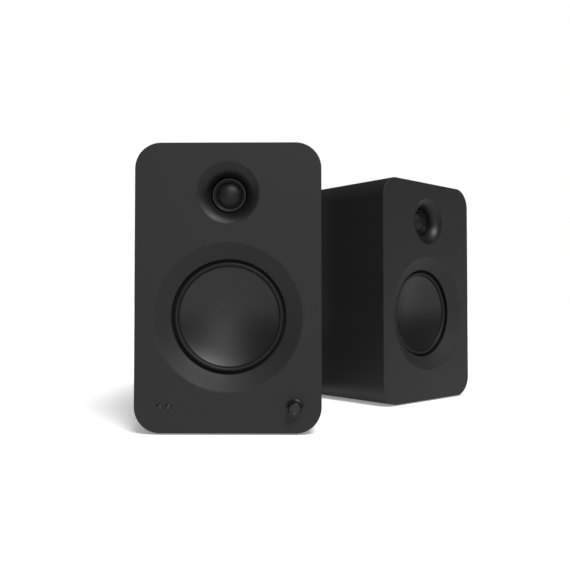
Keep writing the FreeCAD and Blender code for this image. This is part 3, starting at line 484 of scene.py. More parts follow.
def cabinet(speaker):
    """The painted box: front board and sleeve as one skin, with the wall's thickness and every opening."""
    low, high = speaker.box("front_baffle")
    depth = speaker.box("cabinet")[1].y
    board = high.y
    centre, half = outline(low, high)
    shell = Shell()

    def outer(inset, y):
        corner = max(BAFFLE_CORNER - inset, 0.2 * MM)
        return shell.ring(at_depth(rounded_rectangle(half[0] - inset, half[1] - inset, corner, centre), y))

    rings = [outer(inset, y) for inset, y in edge_steps(EDGE)]
    rings += [outer(inset, depth - y) for inset, y in reversed(edge_steps(EDGE * 0.6))]
    rings += [outer(WALL - 0.3 * MM, depth), outer(WALL, depth - 0.3 * MM), outer(WALL, board)]
    shell.loft(rings)

    land = speaker.box("woofer_surround")[0].y
    seat = LIP_RADIUS + 11.2 * MM
    narrowing = BEVEL_RADIUS - LIP_RADIUS
    slope = math.hypot(BEVEL_DEPTH, narrowing)
    soft = 0.5 * MM  # how far the bevel's soft outer edge reaches either way
    bevel_start = (0, BEVEL_RADIUS + soft)
    bevel_end = (soft * BEVEL_DEPTH / slope, BEVEL_RADIUS - soft * narrowing / slope)
    holes = [
        (speaker.middle("woofer_cone"), ROUND, [
            *arc(bevel_start, bevel_end, 2.2 * MM, "right", 4),
            (BEVEL_DEPTH - 0.3 * MM, LIP_RADIUS + 0.5 * MM),
            (BEVEL_DEPTH - 0.08 * MM, LIP_RADIUS + 0.12 * MM),
            (BEVEL_DEPTH + 0.2 * MM, LIP_RADIUS), (land, LIP_RADIUS), (land, seat), (board, seat),
        ]),
        (speaker.middle("tweeter_dome"), ROUND, [
            (0, MOUTH_RADIUS + 0.25 * MM), (0.06 * MM, MOUTH_RADIUS + 0.1 * MM),
            (0.25 * MM, MOUTH_RADIUS + 0.05 * MM), (board, MOUTH_RADIUS + 0.05 * MM),
        ]),
    ]
    if speaker.side == "main":
        bush = 3.8 * MM
        holes.append((speaker.middle("volume_knob"), SMALL_ROUND,
                      [(0, bush + 0.3 * MM), (0.3 * MM, bush), (board, bush)]))
        for x, z, radius in window_places(speaker):
            hole = radius + HAIRLINE
            holes.append((Vector((x, 0, z)), SMALL_ROUND,
                          [(0, hole + 0.15 * MM), (0.15 * MM, hole), (board, hole)]))
    fronts, backs = [], []
    for place, segments, path in holes:
        loops = [shell.ring(at_depth(circle(radius, (place.x, place.z), segments), y)) for y, radius in path]
        shell.loft(loops)
        fronts.append(loops[0])
        backs.append(loops[-1])
    shell.fill(rings[0], fronts)
    shell.fill(rings[-1], backs)
    side = speaker.side
    make(f"{side}_painted_cabinet", speaker, shell, PAINT, side,
                ("cabinet", "front_baffle"), sharp=24)


def window_places(speaker):
    """(x, z, radius) of the receiver window and the lamp."""
    low, high = speaker.box("front_windows")
    radius, z = (high.z - low.z) / 2, (low.z + high.z) / 2
    return [(low.x + radius, z, radius), (high.x - radius, z, radius)]


def back_board(speaker):
    """The board let into the back, with openings for the port and the rear plate."""
    side = speaker.side
    low, high = speaker.box("back_board")
    centre, half = outline(low, high)
    port, port_hole = speaker.middle("port_tube"), 28.1 * MM
    panel, panel_half = outline(*speaker.box(speaker.plate()))
    overlap, corner = 9 * MM, 6 * MM
    holes = [
        round_hole((port.x, port.z), port_hole, CORNER * 4),
        square_hole(panel, (panel_half[0] - overlap, panel_half[1] - overlap), corner, CORNER),
    ]
    shell = plate(half[0] - HAIRLINE, half[1] - HAIRLINE, BAFFLE_CORNER - WALL, low.y, high.y, centre,
                  0.5 * MM, holes)
    make(f"{side}_rear_board", speaker, shell, BOARD_PAINT, side, ("back_board",), sharp=24)


def port_tube(speaker):
    side = speaker.side
    low, high = speaker.box("port_tube")
    centre = speaker.middle("port_tube")
    inner, wall, flange, rise, flare = 19 * MM, 2.5 * MM, (high.x - low.x) / 2, 8 * MM, 16 * MM
    back = speaker.box("cabinet")[1].y
    length = flare + (high.y - back)
    bend = (length**2 + rise**2) / (2 * rise)
    lip, shoulder = 1.2 * MM, inner + rise + 0.9 * MM
    path = [
        (low.y, inner + 0.4 * MM), (low.y + 0.4 * MM, inner),
        *arc((back - flare, inner), (high.y - 0.2 * MM, inner + rise), bend, "left", 20),
        (high.y, inner + rise + 0.4 * MM), (high.y, flange - lip),
        *arc((high.y, flange - lip), (high.y - lip, flange), lip, "right", 6), (back, flange),
        (back, shoulder), (back - flare, shoulder), (back - flare, inner + wall),
        (low.y + 0.4 * MM, inner + wall), (low.y, inner + wall - 0.4 * MM),
    ]
    shell = lathe(path, 128, (centre.x, 0, centre.z))
    make(f"{side}_reflex_port", speaker, shell, PLASTIC, side, ("port_tube",), sharp=24)


def feet(speaker):
    """Four rubber pads with a rounded tread edge and a shallow ring in their soles."""
    side = speaker.side
    low, high = speaker.box("feet")
    radius, top = 8 * MM, high.z
    shell = Shell()
    for x in (low.x + radius, high.x - radius):
        for y in (low.y + radius, high.y - radius):
            pad = lathe([(0, 0), (0, radius * 0.55), (0.3 * MM, radius * 0.58), (0.3 * MM, radius * 0.66),
                         (0, radius * 0.69), (0, radius - 0.5 * MM), (0.12 * MM, radius - 0.18 * MM),
                         (0.5 * MM, radius), (top, radius), (top, 0)], SMALL_ROUND)
            pad.points = [Vector((x + p.x, y + p.z, p.y)) for p in pad.points]
            shell.add(pad)
    make(f"{side}_rubber_feet", speaker, shell, FOOT, side, ("feet",), sharp=40)


# ---- the woofer

def woofer(speaker):
    side = speaker.side
    moving = f"{side}_woofer_drive"
    centre = speaker.middle("woofer_cone")
    axis = (centre.x, 0, centre.z)
    low, high = speaker.box("woofer_cone")
    rim, thick = (high.x - low.x) / 2, 0.7 * MM
    dish = high.y - low.y - thick
    sphere = (rim**2 + dish**2) / (2 * dish)
    face = arc((low.y + dish, 0), (low.y + 0.25 * MM, rim - 0.3 * MM), sphere, "left", 40)
    back = arc((low.y + thick, rim - 0.2 * MM), (high.y, 0), sphere, "right", 24)
    face[0], back[-1] = (face[0][0], 0), (back[-1][0], 0)
    edge = [(low.y, rim - 0.25 * MM), (low.y + 0.1 * MM, rim - 0.02 * MM), (low.y + thick * 0.7, rim)]
    dish_shell = lathe(face + edge + back, ROUND, axis)
    metal = spun(f"{side}_spun_cone", speaker, axis, (0.0305, 0.0303, 0.0302), 0.37, 0.85, 0.22)
    make(f"{side}_cone_dish", speaker, dish_shell, metal, moving, ("woofer_cone",))

    low, high = speaker.box("woofer_surround")
    land = (high.x - low.x) / 2
    front, skin = high.y - 0.3 * MM, 0.8 * MM
    outer, inner = LIP_RADIUS - 2.2 * MM, rim + 0.4 * MM
    crest, foot, glued = (outer - inner) / 2 * 1.02, front - 0.3 * MM, rim + 0.05 * MM
    path = [
        (front, land), (front, outer + 0.3 * MM), *arc((foot, outer), (foot, inner), crest, "left", 24),
        (front + 0.25 * MM, inner - 0.1 * MM), (front + 0.28 * MM, glued), (high.y, glued),
        *arc((high.y, inner + skin), (high.y, outer - skin), crest - skin, "right", 16), (high.y, land),
    ]
    surround = make(f"{side}_half_roll", speaker, lathe(path, ROUND, axis), RUBBER, None,
                    ("woofer_surround",), sharp=50)
    flex(surround, speaker, moving, axis, outer, inner)


# ---- the tweeter

def tweeter(speaker):
    side = speaker.side
    moving = f"{side}_tweeter_drive"
    centre = speaker.middle("tweeter_dome")
    axis = (centre.x, 0, centre.z)
    low, high = speaker.box("tweeter_waveguide")
    flange, board = (high.x - low.x) / 2, speaker.box("front_baffle")[1].y
    motor_low, motor_high = speaker.box("tweeter_motor")
    behind, recess = motor_low.y, (motor_high.x - motor_low.x) / 2 + 0.05 * MM
    ring_low, ring_high = speaker.box("tweeter_trim_ring")
    ring_outer, ring_inner = (ring_high.x - ring_low.x) / 2, 14.4 * MM
    throat, throat_depth, floor = 17.6 * MM, 12.5 * MM, ring_high.y
    path = [
        (0.03 * MM, MOUTH_RADIUS - 0.12 * MM), (0, MOUTH_RADIUS - 0.35 * MM),
        *arc((0.04 * MM, MOUTH_RADIUS - 0.5 * MM), (throat_depth, throat), 16 * MM, "left", 28),
        (floor, throat), (floor, ring_inner + 0.1 * MM), (behind, ring_inner + 0.1 * MM), (behind, recess),
        (high.y, recess), (high.y, flange), (board, flange), (board, MOUTH_RADIUS), (0.3 * MM, MOUTH_RADIUS),
    ]
    make(f"{side}_waveguide", speaker, lathe(path, ROUND, axis), WAVEGUIDE, side, ("tweeter_waveguide",),
         sharp=36)

    edge = 0.45 * MM
    path = softened([
        (ring_high.y, ring_inner), (ring_low.y, ring_inner, edge), (ring_low.y, ring_outer, edge),
        (ring_high.y, ring_outer),
    ])
    trim = spun(f"{side}_trim_metal", speaker, axis, (0.026, 0.026, 0.027), 0.34, 0.9, 0.2, lines=14000)
    make(f"{side}_trim_ring", speaker, lathe(path, ROUND, axis), trim, side, ("tweeter_trim_ring",))

    # A near-black ring laid on the throat's floor between the trim ring and the throat wall: painted shade in
    # the recess
    shade_path = [
        (floor, ring_outer + 0.03 * MM), (floor - 0.5 * MM, ring_outer + 0.06 * MM),
        (floor - 0.6 * MM, (ring_outer + throat) / 2), (floor - 0.5 * MM, throat - 0.06 * MM),
        (floor, throat - 0.03 * MM),
    ]
    make(f"{side}_throat_painted_shade", speaker, lathe(shade_path, ROUND, axis), THROAT_SHADE, side, (), sharp=60)

    low, high = speaker.box("tweeter_dome")
    rise, radius, skin = 4.6 * MM, 12.7 * MM, 0.35 * MM
    base = low.y + rise
    sphere = (radius**2 + rise**2) / (2 * rise)
    inner = radius - 0.05 * MM
    dome = arc((low.y, 0), (base, radius), sphere, "right", 28)
    under = arc((base + skin, inner), (low.y + skin, 0), (inner**2 + rise**2) / (2 * rise), "left", 16)
    dome[0], under[-1] = (dome[0][0], 0), (under[-1][0], 0)
    skirt = [(base + 0.1 * MM, radius + 0.2 * MM), (high.y, radius + 0.2 * MM), (high.y, inner)]
    dome_shell = lathe(dome + skirt + under, ROUND, axis)
    make(f"{side}_silk_dome", speaker, dome_shell, DOME, moving, ("tweeter_dome",))

    roll_outer, roll_inner = ring_inner + 0.05 * MM, radius + 0.22 * MM
    half = (roll_outer - roll_inner) / 2 * 1.05
    crown = arc((base, roll_inner), (base, roll_outer), half, "right", 12)
    path = [(base + skin, roll_inner), *crown, (base + skin, roll_outer)]
    roll = make(f"{side}_dome_roll", speaker, lathe(path, ROUND, axis), DOME, None, (), sharp=50)
    flex(roll, speaker, moving, axis, roll_outer, roll_inner)


# ---- the front controls

def volume_knob(speaker):
    """A stepped knob: a skirt, a hollow flare and a slightly dished cap."""
    low, high = speaker.box("volume_knob")
    centre = speaker.middle("volume_knob")
    base = (high.x - low.x) / 2
    cap, skirt, bore, solid, soft = base - 3.0 * MM, 0.8 * MM, 3.0 * MM, 3.0 * MM, 0.55 * MM
    shoulder = high.y - skirt
    path = [
        (high.y, bore), (high.y, base - 0.25 * MM), (high.y - 0.25 * MM, base), (shoulder + 0.1 * MM, base),
        *arc((shoulder, base - 0.08 * MM), (low.y + 0.75 * MM, cap + 0.04 * MM), 6.6 * MM, "right", 24),
        *arc((low.y + soft, cap), (low.y, cap - soft), soft, "left", 6),
        (low.y, cap - 0.9 * MM), (low.y + 0.12 * MM, cap - 1.1 * MM), (low.y + 0.3 * MM, cap * 0.45),
        (low.y + 0.34 * MM, 0), (low.y + solid, 0), (low.y + solid, bore),
    ]
    make("volume_knob_cap", speaker, lathe(path, 128, (centre.x, 0, centre.z)), KNOB, "volume_knob",
         ("volume_knob",), sharp=34)


def front_windows(speaker):
    """The receiver window and the lamp's lens: low glossy domes."""
    shell = Shell()
    rise = 0.5 * MM
    deep = speaker.box("front_windows")[1].y
    for x, z, radius in window_places(speaker):
        bend, rim = radius**2 / (2.2 * rise), radius - 0.1 * MM
        crown = arc((-rise, 0), (0.02 * MM, radius - 0.2 * MM), bend, "right", 10)
        crown[0] = (-rise, 0)
        shell.add(lathe([*crown, (0.2 * MM, rim), (deep, rim), (deep, 0)], SMALL_ROUND, (x, 0, z)))
    make("front_window_lenses", speaker, shell, SMOKED, "main", ("front_windows",), sharp=30)


# ---- the back

def plate_screws(speaker):
    """(x, z) of the rear plate's screws: its corners, and the middles of the taller plate's sides."""
    low, high = speaker.box(speaker.plate())
    bottom, rise = low.z + PLATE_SCREW_INSET, high.z - low.z - 2 * PLATE_SCREW_INSET
    rows = (0, 0.5, 1) if speaker.side == "main" else (0, 1)
    columns = (low.x + PLATE_SCREW_INSET, high.x - PLATE_SCREW_INSET)
    return [(x, bottom + row * rise) for x in columns for row in rows]


def screw_places(speaker):
    """(x, seat depth, z) of every wood screw: woofer, tweeter and rear plate."""
    woofer_seat = speaker.box("woofer_surround")[1].y + 4 * MM
    tweeter_seat = speaker.box("tweeter_waveguide")[1].y
    places = []
    for count, ring, middle, seat in (
        (6, LIP_RADIUS + WOOFER_SCREW_INSET, speaker.middle("woofer_cone"), woofer_seat),
        (3, MOUTH_RADIUS + TWEETER_SCREW_INSET, speaker.middle("tweeter_dome"), tweeter_seat),
    ):
        for index in range(count):
            angle = math.radians(30 + 360 * index / count)
            places.append((middle.x + ring * math.cos(angle), seat, middle.z + ring * math.sin(angle)))
    plate_face = speaker.box(speaker.plate())[1].y
    return places + [(x, plate_face, z) for x, z in plate_screws(speaker)]


def screw(x, seat, z, turn):
    """A pan-head screw with a cross recess: rings that change from the round head to the cross."""
    shank, head, tall, segments = 1.6 * MM, 3.1 * MM, 1.9 * MM, 48
    reach, slot_half = 1.55 * MM, 0.42 * MM
    angles = [2 * math.pi * index / segments for index in range(segments)]

    def cross(scale):
        """Four arms out to reach, each slot_half to either side of its axis."""
        points = []
        for angle in angles:
            share = min(abs(math.cos(angle)), abs(math.sin(angle)))
            radius = min(reach, slot_half / max(share, TINY)) * scale
            points.append((radius * math.cos(angle), radius * math.sin(angle)))
        return points

    def turned_points(points, y):
        c, s = math.cos(turn), math.sin(turn)
        return [(x + px * c - pz * s, y, z + px * s + pz * c) for px, pz in points]

    shell = Shell()
    tip = seat - 7 * MM
    rings = [shell.ring(turned_points(circle(radius, segments=segments), y)) for y, radius in (
        (tip, 0.4 * MM), (tip + 1.5 * MM, shank), (seat, shank), (seat, head), (seat + tall * 0.35, head),
        (seat + tall * 0.7, head * 0.9), (seat + tall * 0.92, head * 0.7), (seat + tall, head * 0.56),
    )]
    rings.append(shell.ring(turned_points(cross(1.0), seat + tall)))
    rings.append(shell.ring(turned_points(cross(0.8), seat + tall - 1.1 * MM)))
    shell.loft(rings)
    shell.fan(rings[0], (x, tip, z))
    shell.fan(rings[-1], (x, seat + tall - 1.3 * MM, z))
    return shell


def screws(speaker):
    shell = Shell()
    for index, (x, seat, z) in enumerate(screw_places(speaker)):
        shell.add(screw(x, seat, z, 0.7 * index))
    side = speaker.side
    make(f"{side}_wood_screws", speaker, shell, SCREW, side, ("screws",), sharp=34)


def post_places(speaker):
    """The middles of the binding posts' caps."""
    return [speaker.middle(f"post_cap_{colour}") for colour in ("black", "red")]


def rear_plate(speaker):
    """The powder-coated plate, with a hole for everything that stands on it."""
    side = speaker.side
    low, high = speaker.box(speaker.plate())
    centre, half = outline(low, high)
    holes = [round_hole((place.x, place.z), 3.1 * MM) for place in post_places(speaker)]
    holes += [round_hole(spot, 1.7 * MM, CORNER) for spot in plate_screws(speaker)]
    if side == "main":
        jacks_low, jacks_high = speaker.box("phono_jacks")
        flange, row, jack_hole = (jacks_high.z - jacks_low.z) / 2, (jacks_low.z + jacks_high.z) / 2, 3.5 * MM
        aux = speaker.middle("aux_jack")
        for spot in ((jacks_low.x + flange, row), (jacks_high.x - flange, row), (aux.x, aux.z)):
            holes.append(round_hole(spot, jack_hole))
        for node in ("optical_jack", "mains_inlet"):
            spot, size = outline(*speaker.box(node))
            holes.append(square_hole(spot, (size[0] + 0.1 * MM, size[1] + 0.1 * MM), 0.4 * MM, 4))
    shell = plate(*half, 6 * MM, low.y, high.y, centre, 0.4 * MM, holes)
    make(f"{side}_rear_plate", speaker, shell, POWDER, side, (speaker.plate(),), sharp=24)


def binding_posts(speaker):
    """Gold-plated threaded studs with a banana bore and a nut inside, on moulded bases."""
    side = speaker.side
    low, high = speaker.box("binding_posts")
    face = speaker.box(speaker.plate())[1].y
    stud, bore, bore_depth, base, base_tall = 3 * MM, 2 * MM, 10.5 * MM, 7.5 * MM, 3.5 * MM
    nut, nut_back, nut_front = 5.5 * MM, face - 2 * MM, face - 5 * MM
    start, pitch, groove = face + base_tall, 0.8 * MM, 0.22 * MM
    thread = []
    for index in range(int((high.y - 0.5 * MM - start) / pitch)):
        y = start + index * pitch
        thread += [(y, stud - groove), (y + pitch * 0.35, stud), (y + pitch * 0.6, stud)]
    path = [
        (low.y, 0), (low.y, stud), (start, stud), *thread[1:], (high.y - 0.4 * MM, stud - 0.1 * MM),
        (high.y, stud - 0.4 * MM), (high.y, bore + 0.3 * MM), (high.y - 0.3 * MM, bore),
        (high.y - bore_depth, bore), (high.y - bore_depth, 0),
    ]
    nut_path = [(nut_front, stud), (nut_front, nut), (nut_back, nut), (nut_back, stud)]
    base_path = softened([
        (face, stud), (face, base), (face + base_tall * 0.55, base, 0.5 * MM),
        (start, base - 1.6 * MM, 0.4 * MM), (start, stud),
    ])
    studs, bases = Shell(), Shell()
    for place in post_places(speaker):
        centre = (place.x, 0, place.z)
        studs.add(lathe(path, SMALL_ROUND, centre))
        studs.add(lathe(nut_path, 6, centre))
        bases.add(lathe(base_path, SMALL_ROUND, centre))
    make(f"{side}_post_studs", speaker, studs, GOLD, side, ("binding_posts",), sharp=30)
    make(f"{side}_post_bases", speaker, bases, GLOSS, side, (), sharp=34)


def cap_shell(place, low, high, radius):
    """A fluted screw cap: gripping flutes between two plain bands, and a banana opening in its end."""
    bore, mouth, flutes, steps, groove = 3.05 * MM, 2.6 * MM, 18, 6, 0.45 * MM
    count = flutes * steps

    def fluted(depth, share, shrink=0.0):
        points = []
        for index in range(count):
            angle = 2 * math.pi * index / count
            reach = radius - shrink - max(math.cos(angle * flutes), 0) ** 2 * groove * share
            points.append((place.x + reach * math.cos(angle), depth, place.z + reach * math.sin(angle)))
        return points

    def plain(depth, reach):
        return at_depth(circle(reach, (place.x, place.z), count), depth)

    shoulder = high - 1.3 * MM
    rings = [
        plain(low, bore), plain(low, radius - 0.4 * MM), fluted(low + 0.15 * MM, 0, 0.12 * MM),
        fluted(low + 0.4 * MM, 0), fluted(low + 2.0 * MM, 0), fluted(low + 2.6 * MM, 1),
        fluted(high - 3.0 * MM, 1), fluted(high - 2.4 * MM, 0), fluted(high - 1.2 * MM, 0, 0.25 * MM),
        fluted(high - 0.4 * MM, 0, 0.75 * MM), fluted(high - 0.08 * MM, 0, 1.3 * MM),
        plain(high, radius - 1.8 * MM), plain(high, mouth + 0.5 * MM),
        plain(high - 0.1 * MM, mouth + 0.15 * MM), plain(high - 0.3 * MM, mouth),
        plain(shoulder, mouth), plain(shoulder, bore),
    ]
    shell = Shell()
    loops = [shell.ring(points) for points in rings]
    shell.loft(loops + loops[:1])
    return shell


def post_caps(speaker):
    """The posts' screw caps, and the gold washers under them."""
    side = speaker.side
    for colour, material in (("black", GLOSS), ("red", RED)):
        cap, washer = f"post_cap_{colour}", f"post_washer_{colour}"
        low, high = speaker.box(cap)
        place, radius = speaker.middle(cap), (high.z - low.z) / 2
        make(f"{side}_{colour}_cap", speaker, cap_shell(place, low.y, high.y, radius), material,
             f"{side}_cap_{colour}", (cap,), sharp=36)

        low, high = speaker.box(washer)
        hole, rim = 3.1 * MM, 0.25 * MM
        path = softened([(high.y, hole), (low.y, hole), (low.y, radius, rim), (high.y, radius, rim)])
        make(f"{side}_{colour}_washer", speaker, lathe(path, SMALL_ROUND, (place.x, 0, place.z)), GOLD,
             f"{side}_washer_{colour}", (washer,), sharp=34)


def phono_jacks(speaker):
    """Two gold-plated phono sockets with a white and a red insulator."""
    low, high = speaker.box("phono_jacks")
    face = speaker.box("amp_plate")[1].y
    flange, flange_face = (high.z - low.z) / 2, face + 1.2 * MM
    z, neck, barrel, inside, floor = (low.z + high.z) / 2, 3 * MM, 4.15 * MM, 3.55 * MM, high.y - 7.5 * MM
    insulator, insulator_face, bore = 3.5 * MM, high.y - 0.5 * MM, 1.8 * MM
    barrel_path = softened([
        (low.y, 0), (low.y, neck), (face, neck), (face, flange), (flange_face, flange, 0.3 * MM),
        (flange_face, barrel), (high.y, barrel, 0.25 * MM), (high.y, inside, 0.15 * MM),
        (floor, inside), (floor, 0),
    ])
    insulator_path = softened([
        (floor, insulator), (insulator_face, insulator, 0.2 * MM), (insulator_face, bore, 0.3 * MM),
        (floor + 0.1 * MM, bore),
    ])
    shells = Shell()
    places = {"white": low.x + flange, "red": high.x - flange}
    for x in places.values():
        shells.add(lathe(barrel_path, SMALL_ROUND, (x, 0, z)))
    make("phono_shells", speaker, shells, GOLD, "main", ("phono_jacks",), sharp=34)
    for colour, material, slot in (("white", WHITE, "gold_plate"), ("red", RED, "red_cap")):
        make(f"phono_insulator_{colour}", speaker, lathe(insulator_path, SMALL_ROUND, (places[colour], 0, z)),
             material, "main", (), sharp=34)


def aux_jack(speaker):
    """A small round socket with a deep bore."""
    low, high = speaker.box("aux_jack")
    place = speaker.middle("aux_jack")
    face = speaker.box("amp_plate")[1].y
    neck, collar, bore, floor = 3 * MM, 4 * MM, 1.8 * MM, high.y - 14 * MM
    path = softened([
        (low.y, 0), (low.y, neck), (face, neck), (face, collar), (high.y, collar, 0.3 * MM),
        (high.y, bore, 0.4 * MM), (floor, bore), (floor, 0),
    ])
    make("aux_socket", speaker, lathe(path, SMALL_ROUND, (place.x, 0, place.z)), PLASTIC, "main",
         ("aux_jack",), sharp=34)


def recessed_block(low, high, openings, edge=0.4 * MM):
    """A housing with blind openings in its rear face, each a hole and its depth."""
    shell = Shell()
    centre, half = outline(low, high)

    def outer(inset, depth):
        ring = rounded_rectangle(half[0] - inset, half[1] - inset, max(0.6 * MM - inset, 0.1 * MM), centre, 4)
        return shell.ring(at_depth(ring, depth))

    rings = [outer(inset, high.y - depth) for inset, depth in edge_steps(edge)] + [outer(0, low.y)]
    shell.loft(rings)
    faces = []
    for opening, deep in openings:
        steps = edge_steps(edge * 0.8, 4)
        rim = [shell.ring(at_depth(opening(inset), high.y - depth)) for inset, depth in steps]
        rim.append(shell.ring(at_depth(opening(0), high.y - deep)))
        shell.loft(rim)
        shell.fill(rim[-1])
        faces.append(rim[0])
    shell.fill(rings[0], faces)
    shell.fill(rings[-1])
    return shell


def optical_socket(speaker):
    """The optical input's housing, and its dust flap with its hinge pin."""
    low, high = speaker.box("optical_jack")
    side = 4.2 * MM
    opening = (square_hole(outline(low, high)[0], (side, side), 0.8 * MM, 6), 10.6 * MM)
    make("optical_housing", speaker, recessed_block(low, high, [opening]), PLASTIC, "main",
         ("optical_jack",), sharp=30)
    low, high = speaker.box("optical_shutter")
    pin_radius = 0.6 * MM
    centre, half = outline(low, high)
    flap = plate(*half, 0.5 * MM, high.y - pin_radius, high.y, centre, 0.25 * MM, segments=6)
    pin = lathe([(0, 0), (0, pin_radius), (high.x - low.x, pin_radius), (high.x - low.x, 0)], 24)
    pin_y, pin_z = high.y - pin_radius, high.z - pin_radius
    pin.points = [Vector((low.x + p.y, pin_y + p.x, pin_z + p.z)) for p in pin.points]
    flap.add(pin)
    make("optical_flap", speaker, flap, GLOSS, "optical_shutter", ("optical_shutter",),
         sharp=34)


def mains_inlet(speaker):
    """The housing with the two-pin inlet below and the switch's recess above, and the two pins."""
    low, high = speaker.box("mains_inlet")
    middle = speaker.middle("mains_inlet")
    rocker_low, rocker_high = speaker.box("power_rocker")
    socket_z, socket_depth, half_width, half_height = middle.z - 13 * MM, 13 * MM, 8.3 * MM, 4.7 * MM
    switch_z, switch_depth, switch_tall = middle.z + 9 * MM, 9 * MM, 10 * MM
    switch_half = (rocker_high.x - rocker_low.x) / 2 + 0.3 * MM
    pin, pin_half, pin_floor, tip = 1.2 * MM, 4.3 * MM, high.y - 13.2 * MM, high.y - 2 * MM

    def socket(grow):
        corner = half_height * 0.99 + grow
        return rounded_rectangle(half_width + grow, half_height + grow, corner, (middle.x, socket_z), 16)

    switch = square_hole((middle.x, switch_z), (switch_half, switch_tall), 0.5 * MM, 6)
    housing = recessed_block(low, high, [(socket, socket_depth), (switch, switch_depth)], 0.6 * MM)
    make("inlet_housing", speaker, housing, PLASTIC, "main", ("mains_inlet",), sharp=30)
    pins = Shell()
    path = [
        (pin_floor, 0), (pin_floor, pin), (tip - 0.8 * MM, pin), (tip - 0.35 * MM, 1.05 * MM),
        (tip - 0.05 * MM, 0.6 * MM), (tip, 0),
    ]
    for x in (middle.x - pin_half, middle.x + pin_half):
        pins.add(lathe(path, 32, (x, 0, socket_z)))
    make("inlet_pins", speaker, pins, STEEL, "main", (), sharp=40)


def power_rocker(speaker):
    """The rocker at its off position: a hollow face with rounded edges, tilted about its pin."""
    joint = next(j for j in frame["joints"] if j["name"] == "power_rock")
    pivot = Vector(joint["pos_m"]) - speaker.origin
    low, high = speaker.box("power_rocker")
    half_x = (high.x - low.x) / 2
    face, tall, dip, back, back_share = 4.0 * MM, 9.0 * MM, 1.05 * MM, -3 * MM, 0.7
    steps, edge = 20, 0.5 * MM
    profile = [(back, -tall * back_share)]
    for index in range(steps + 1):
        z = -tall + 2 * tall * index / steps
        profile.append((face - dip * (1 - (z / tall) ** 2), z))
    profile.append((back, tall * back_share))
    tilt = math.radians(8)
    shell = Shell()
    rings = []
    for inset, across in ((edge, -half_x), (edge * 0.3, -half_x + edge * 0.3), (0, -half_x + edge),
                          (0, half_x - edge), (edge * 0.3, half_x - edge * 0.3), (edge, half_x)):
        points = []
        for y, z in profile:
            py, pz = (y - inset if y > 0 else y), z * (1 - inset / tall)
            points.append((pivot.x + across, pivot.y + py * math.cos(tilt) - pz * math.sin(tilt),
                           pivot.z + py * math.sin(tilt) + pz * math.cos(tilt)))
        rings.append(shell.ring(points))
    shell.loft(rings)
    shell.fill(rings[0])
    shell.fill(rings[-1])
    make("rocker_key", speaker, shell, GLOSS, "power_rocker", ("power_rocker",), sharp=40)


# ---- what stays as it is in CAD

KEPT = {
    "woofer_basket": SCREW, "woofer_voice_coil": COPPER, "woofer_spider": SPIDER, "woofer_pole_plates": STEEL,
    "woofer_magnet": FERRITE, "tweeter_motor": FERRITE, "encoder_shaft": STEEL, "encoder_plunger": PLASTIC,
    "control_board": GREEN, "amp_board": GREEN, "power_supply": GREEN, "crossover_board": GREEN,
}


def finish_kept_nodes():
    """Gives the nodes that keep their CAD mesh their finish."""
    for name, node in frame["nodes"].items():
        material = KEPT.get(name.split("_", 1)[1])
        if material:
            node.data.materials.clear()
            node.data.materials.append(material)


# ---- the stage

def softbox(name, side, height, energy, spread):
    """A far soft light: its bearing from straight ahead towards the right and its height, in degrees."""
    light = bpy.data.lights.new(name, "SUN")
    light.energy, light.angle = energy, math.radians(spread)
    lamp = bpy.data.objects.new(name, light)
    side, height = math.radians(side), math.radians(height)
    level = math.cos(height)
    towards = Vector((-math.sin(side) * level, math.cos(side) * level, -math.sin(height)))
    lamp.rotation_euler = towards.to_track_quat("-Z", "Y").to_euler()
    bpy.context.scene.collection.objects.link(lamp)


def pale_floor():
    material, nodes, links, shader = node_tree("pale_floor")
    patches = noise(nodes, links, mapped(nodes, links), 2, 2)
    links.new(tinted(nodes, links, patches, (0.94, 0.94, 0.94), 0.005), shader.inputs["Base Color"])
    shader.inputs["Roughness"].default_value = 0.9
    shader.inputs["Specular IOR Level"].default_value = 0.0
    shader.inputs["Emission Color"].default_value = (1, 1, 1, 1)
    shader.inputs["Emission Strength"].default_value = 0.26
    return material


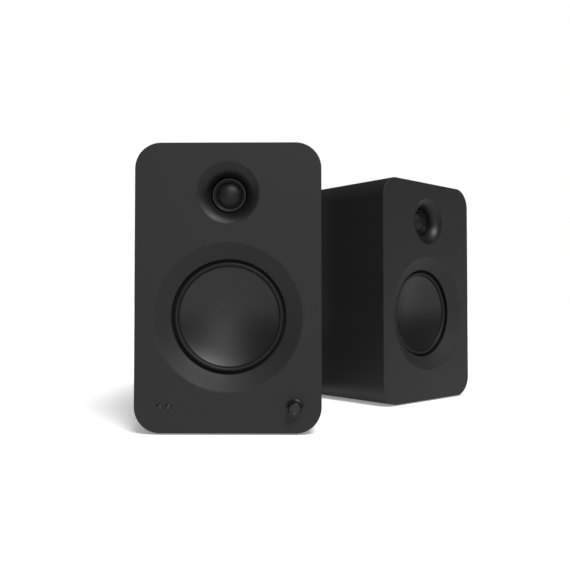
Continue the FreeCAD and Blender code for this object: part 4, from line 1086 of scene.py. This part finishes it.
def stage():
    """The floor, a world that is white to the camera and dim to the pieces, and the soft lights."""
    scene = bpy.context.scene
    scene.view_settings.view_transform = "Standard"
    mesh = bpy.data.meshes.new("floor")
    size = 30.0
    corners = [(-size, -size, 0), (size, -size, 0), (size, size, 0), (-size, size, 0)]
    mesh.from_pydata(corners, [], [(0, 1, 2, 3)])
    mesh.materials.append(pale_floor())
    floor = bpy.data.objects.new("floor", mesh)
    scene.collection.objects.link(floor)

    world = bpy.data.worlds.new("studio")
    scene.world = world
    world.use_nodes = True
    nodes, links = world.node_tree.nodes, world.node_tree.links
    white = nodes["Background"]
    white.inputs["Color"].default_value = (1, 1, 1, 1)
    white.inputs["Strength"].default_value = 1.0
    dim = nodes.new("ShaderNodeBackground")
    dim.inputs["Strength"].default_value = 0.075
    light_path = nodes.new("ShaderNodeLightPath")
    mix = nodes.new("ShaderNodeMixShader")
    links.new(light_path.outputs["Is Camera Ray"], mix.inputs["Fac"])
    links.new(dim.outputs["Background"], mix.inputs[1])
    links.new(white.outputs["Background"], mix.inputs[2])
    links.new(mix.outputs["Shader"], nodes["World Output"].inputs["Surface"])

    softbox("key", 25, 50, 3.3, 25)
    softbox("front_low", 0, 12, 0.42, 25)
    softbox("front_high", 0, 45, 0.55, 30)
    softbox("right", 75, 45, 0.16, 25)


def camera(speaker):
    """Just below the main speaker's mid height, over its right half, looking a little up and left."""
    view = bpy.data.cameras.new("camera")
    view.lens, view.sensor_width = 42.52, 36
    eye = bpy.data.objects.new("camera", view)
    eye.location = speaker.matrix @ Vector((61.35 * MM, -627.0 * MM, 123.0 * MM))
    yaw, pitch = math.radians(0.727), math.radians(1.507)
    forward = Vector((-math.sin(yaw) * math.cos(pitch), math.cos(yaw) * math.cos(pitch), math.sin(pitch)))
    eye.rotation_euler = forward.to_track_quat("-Z", "Y").to_euler()
    bpy.context.scene.collection.objects.link(eye)
    bpy.context.scene.camera = eye


MAIN, SATELLITE = Speaker("main"), Speaker("satellite")
camera(MAIN)
stage()
finish_kept_nodes()
for each in (MAIN, SATELLITE):
    cabinet(each)
    back_board(each)
    port_tube(each)
    feet(each)
    woofer(each)
    tweeter(each)
    screws(each)
    rear_plate(each)
    binding_posts(each)
    post_caps(each)
volume_knob(MAIN)
front_windows(MAIN)
phono_jacks(MAIN)
aux_jack(MAIN)
optical_socket(MAIN)
mains_inlet(MAIN)
power_rocker(MAIN)
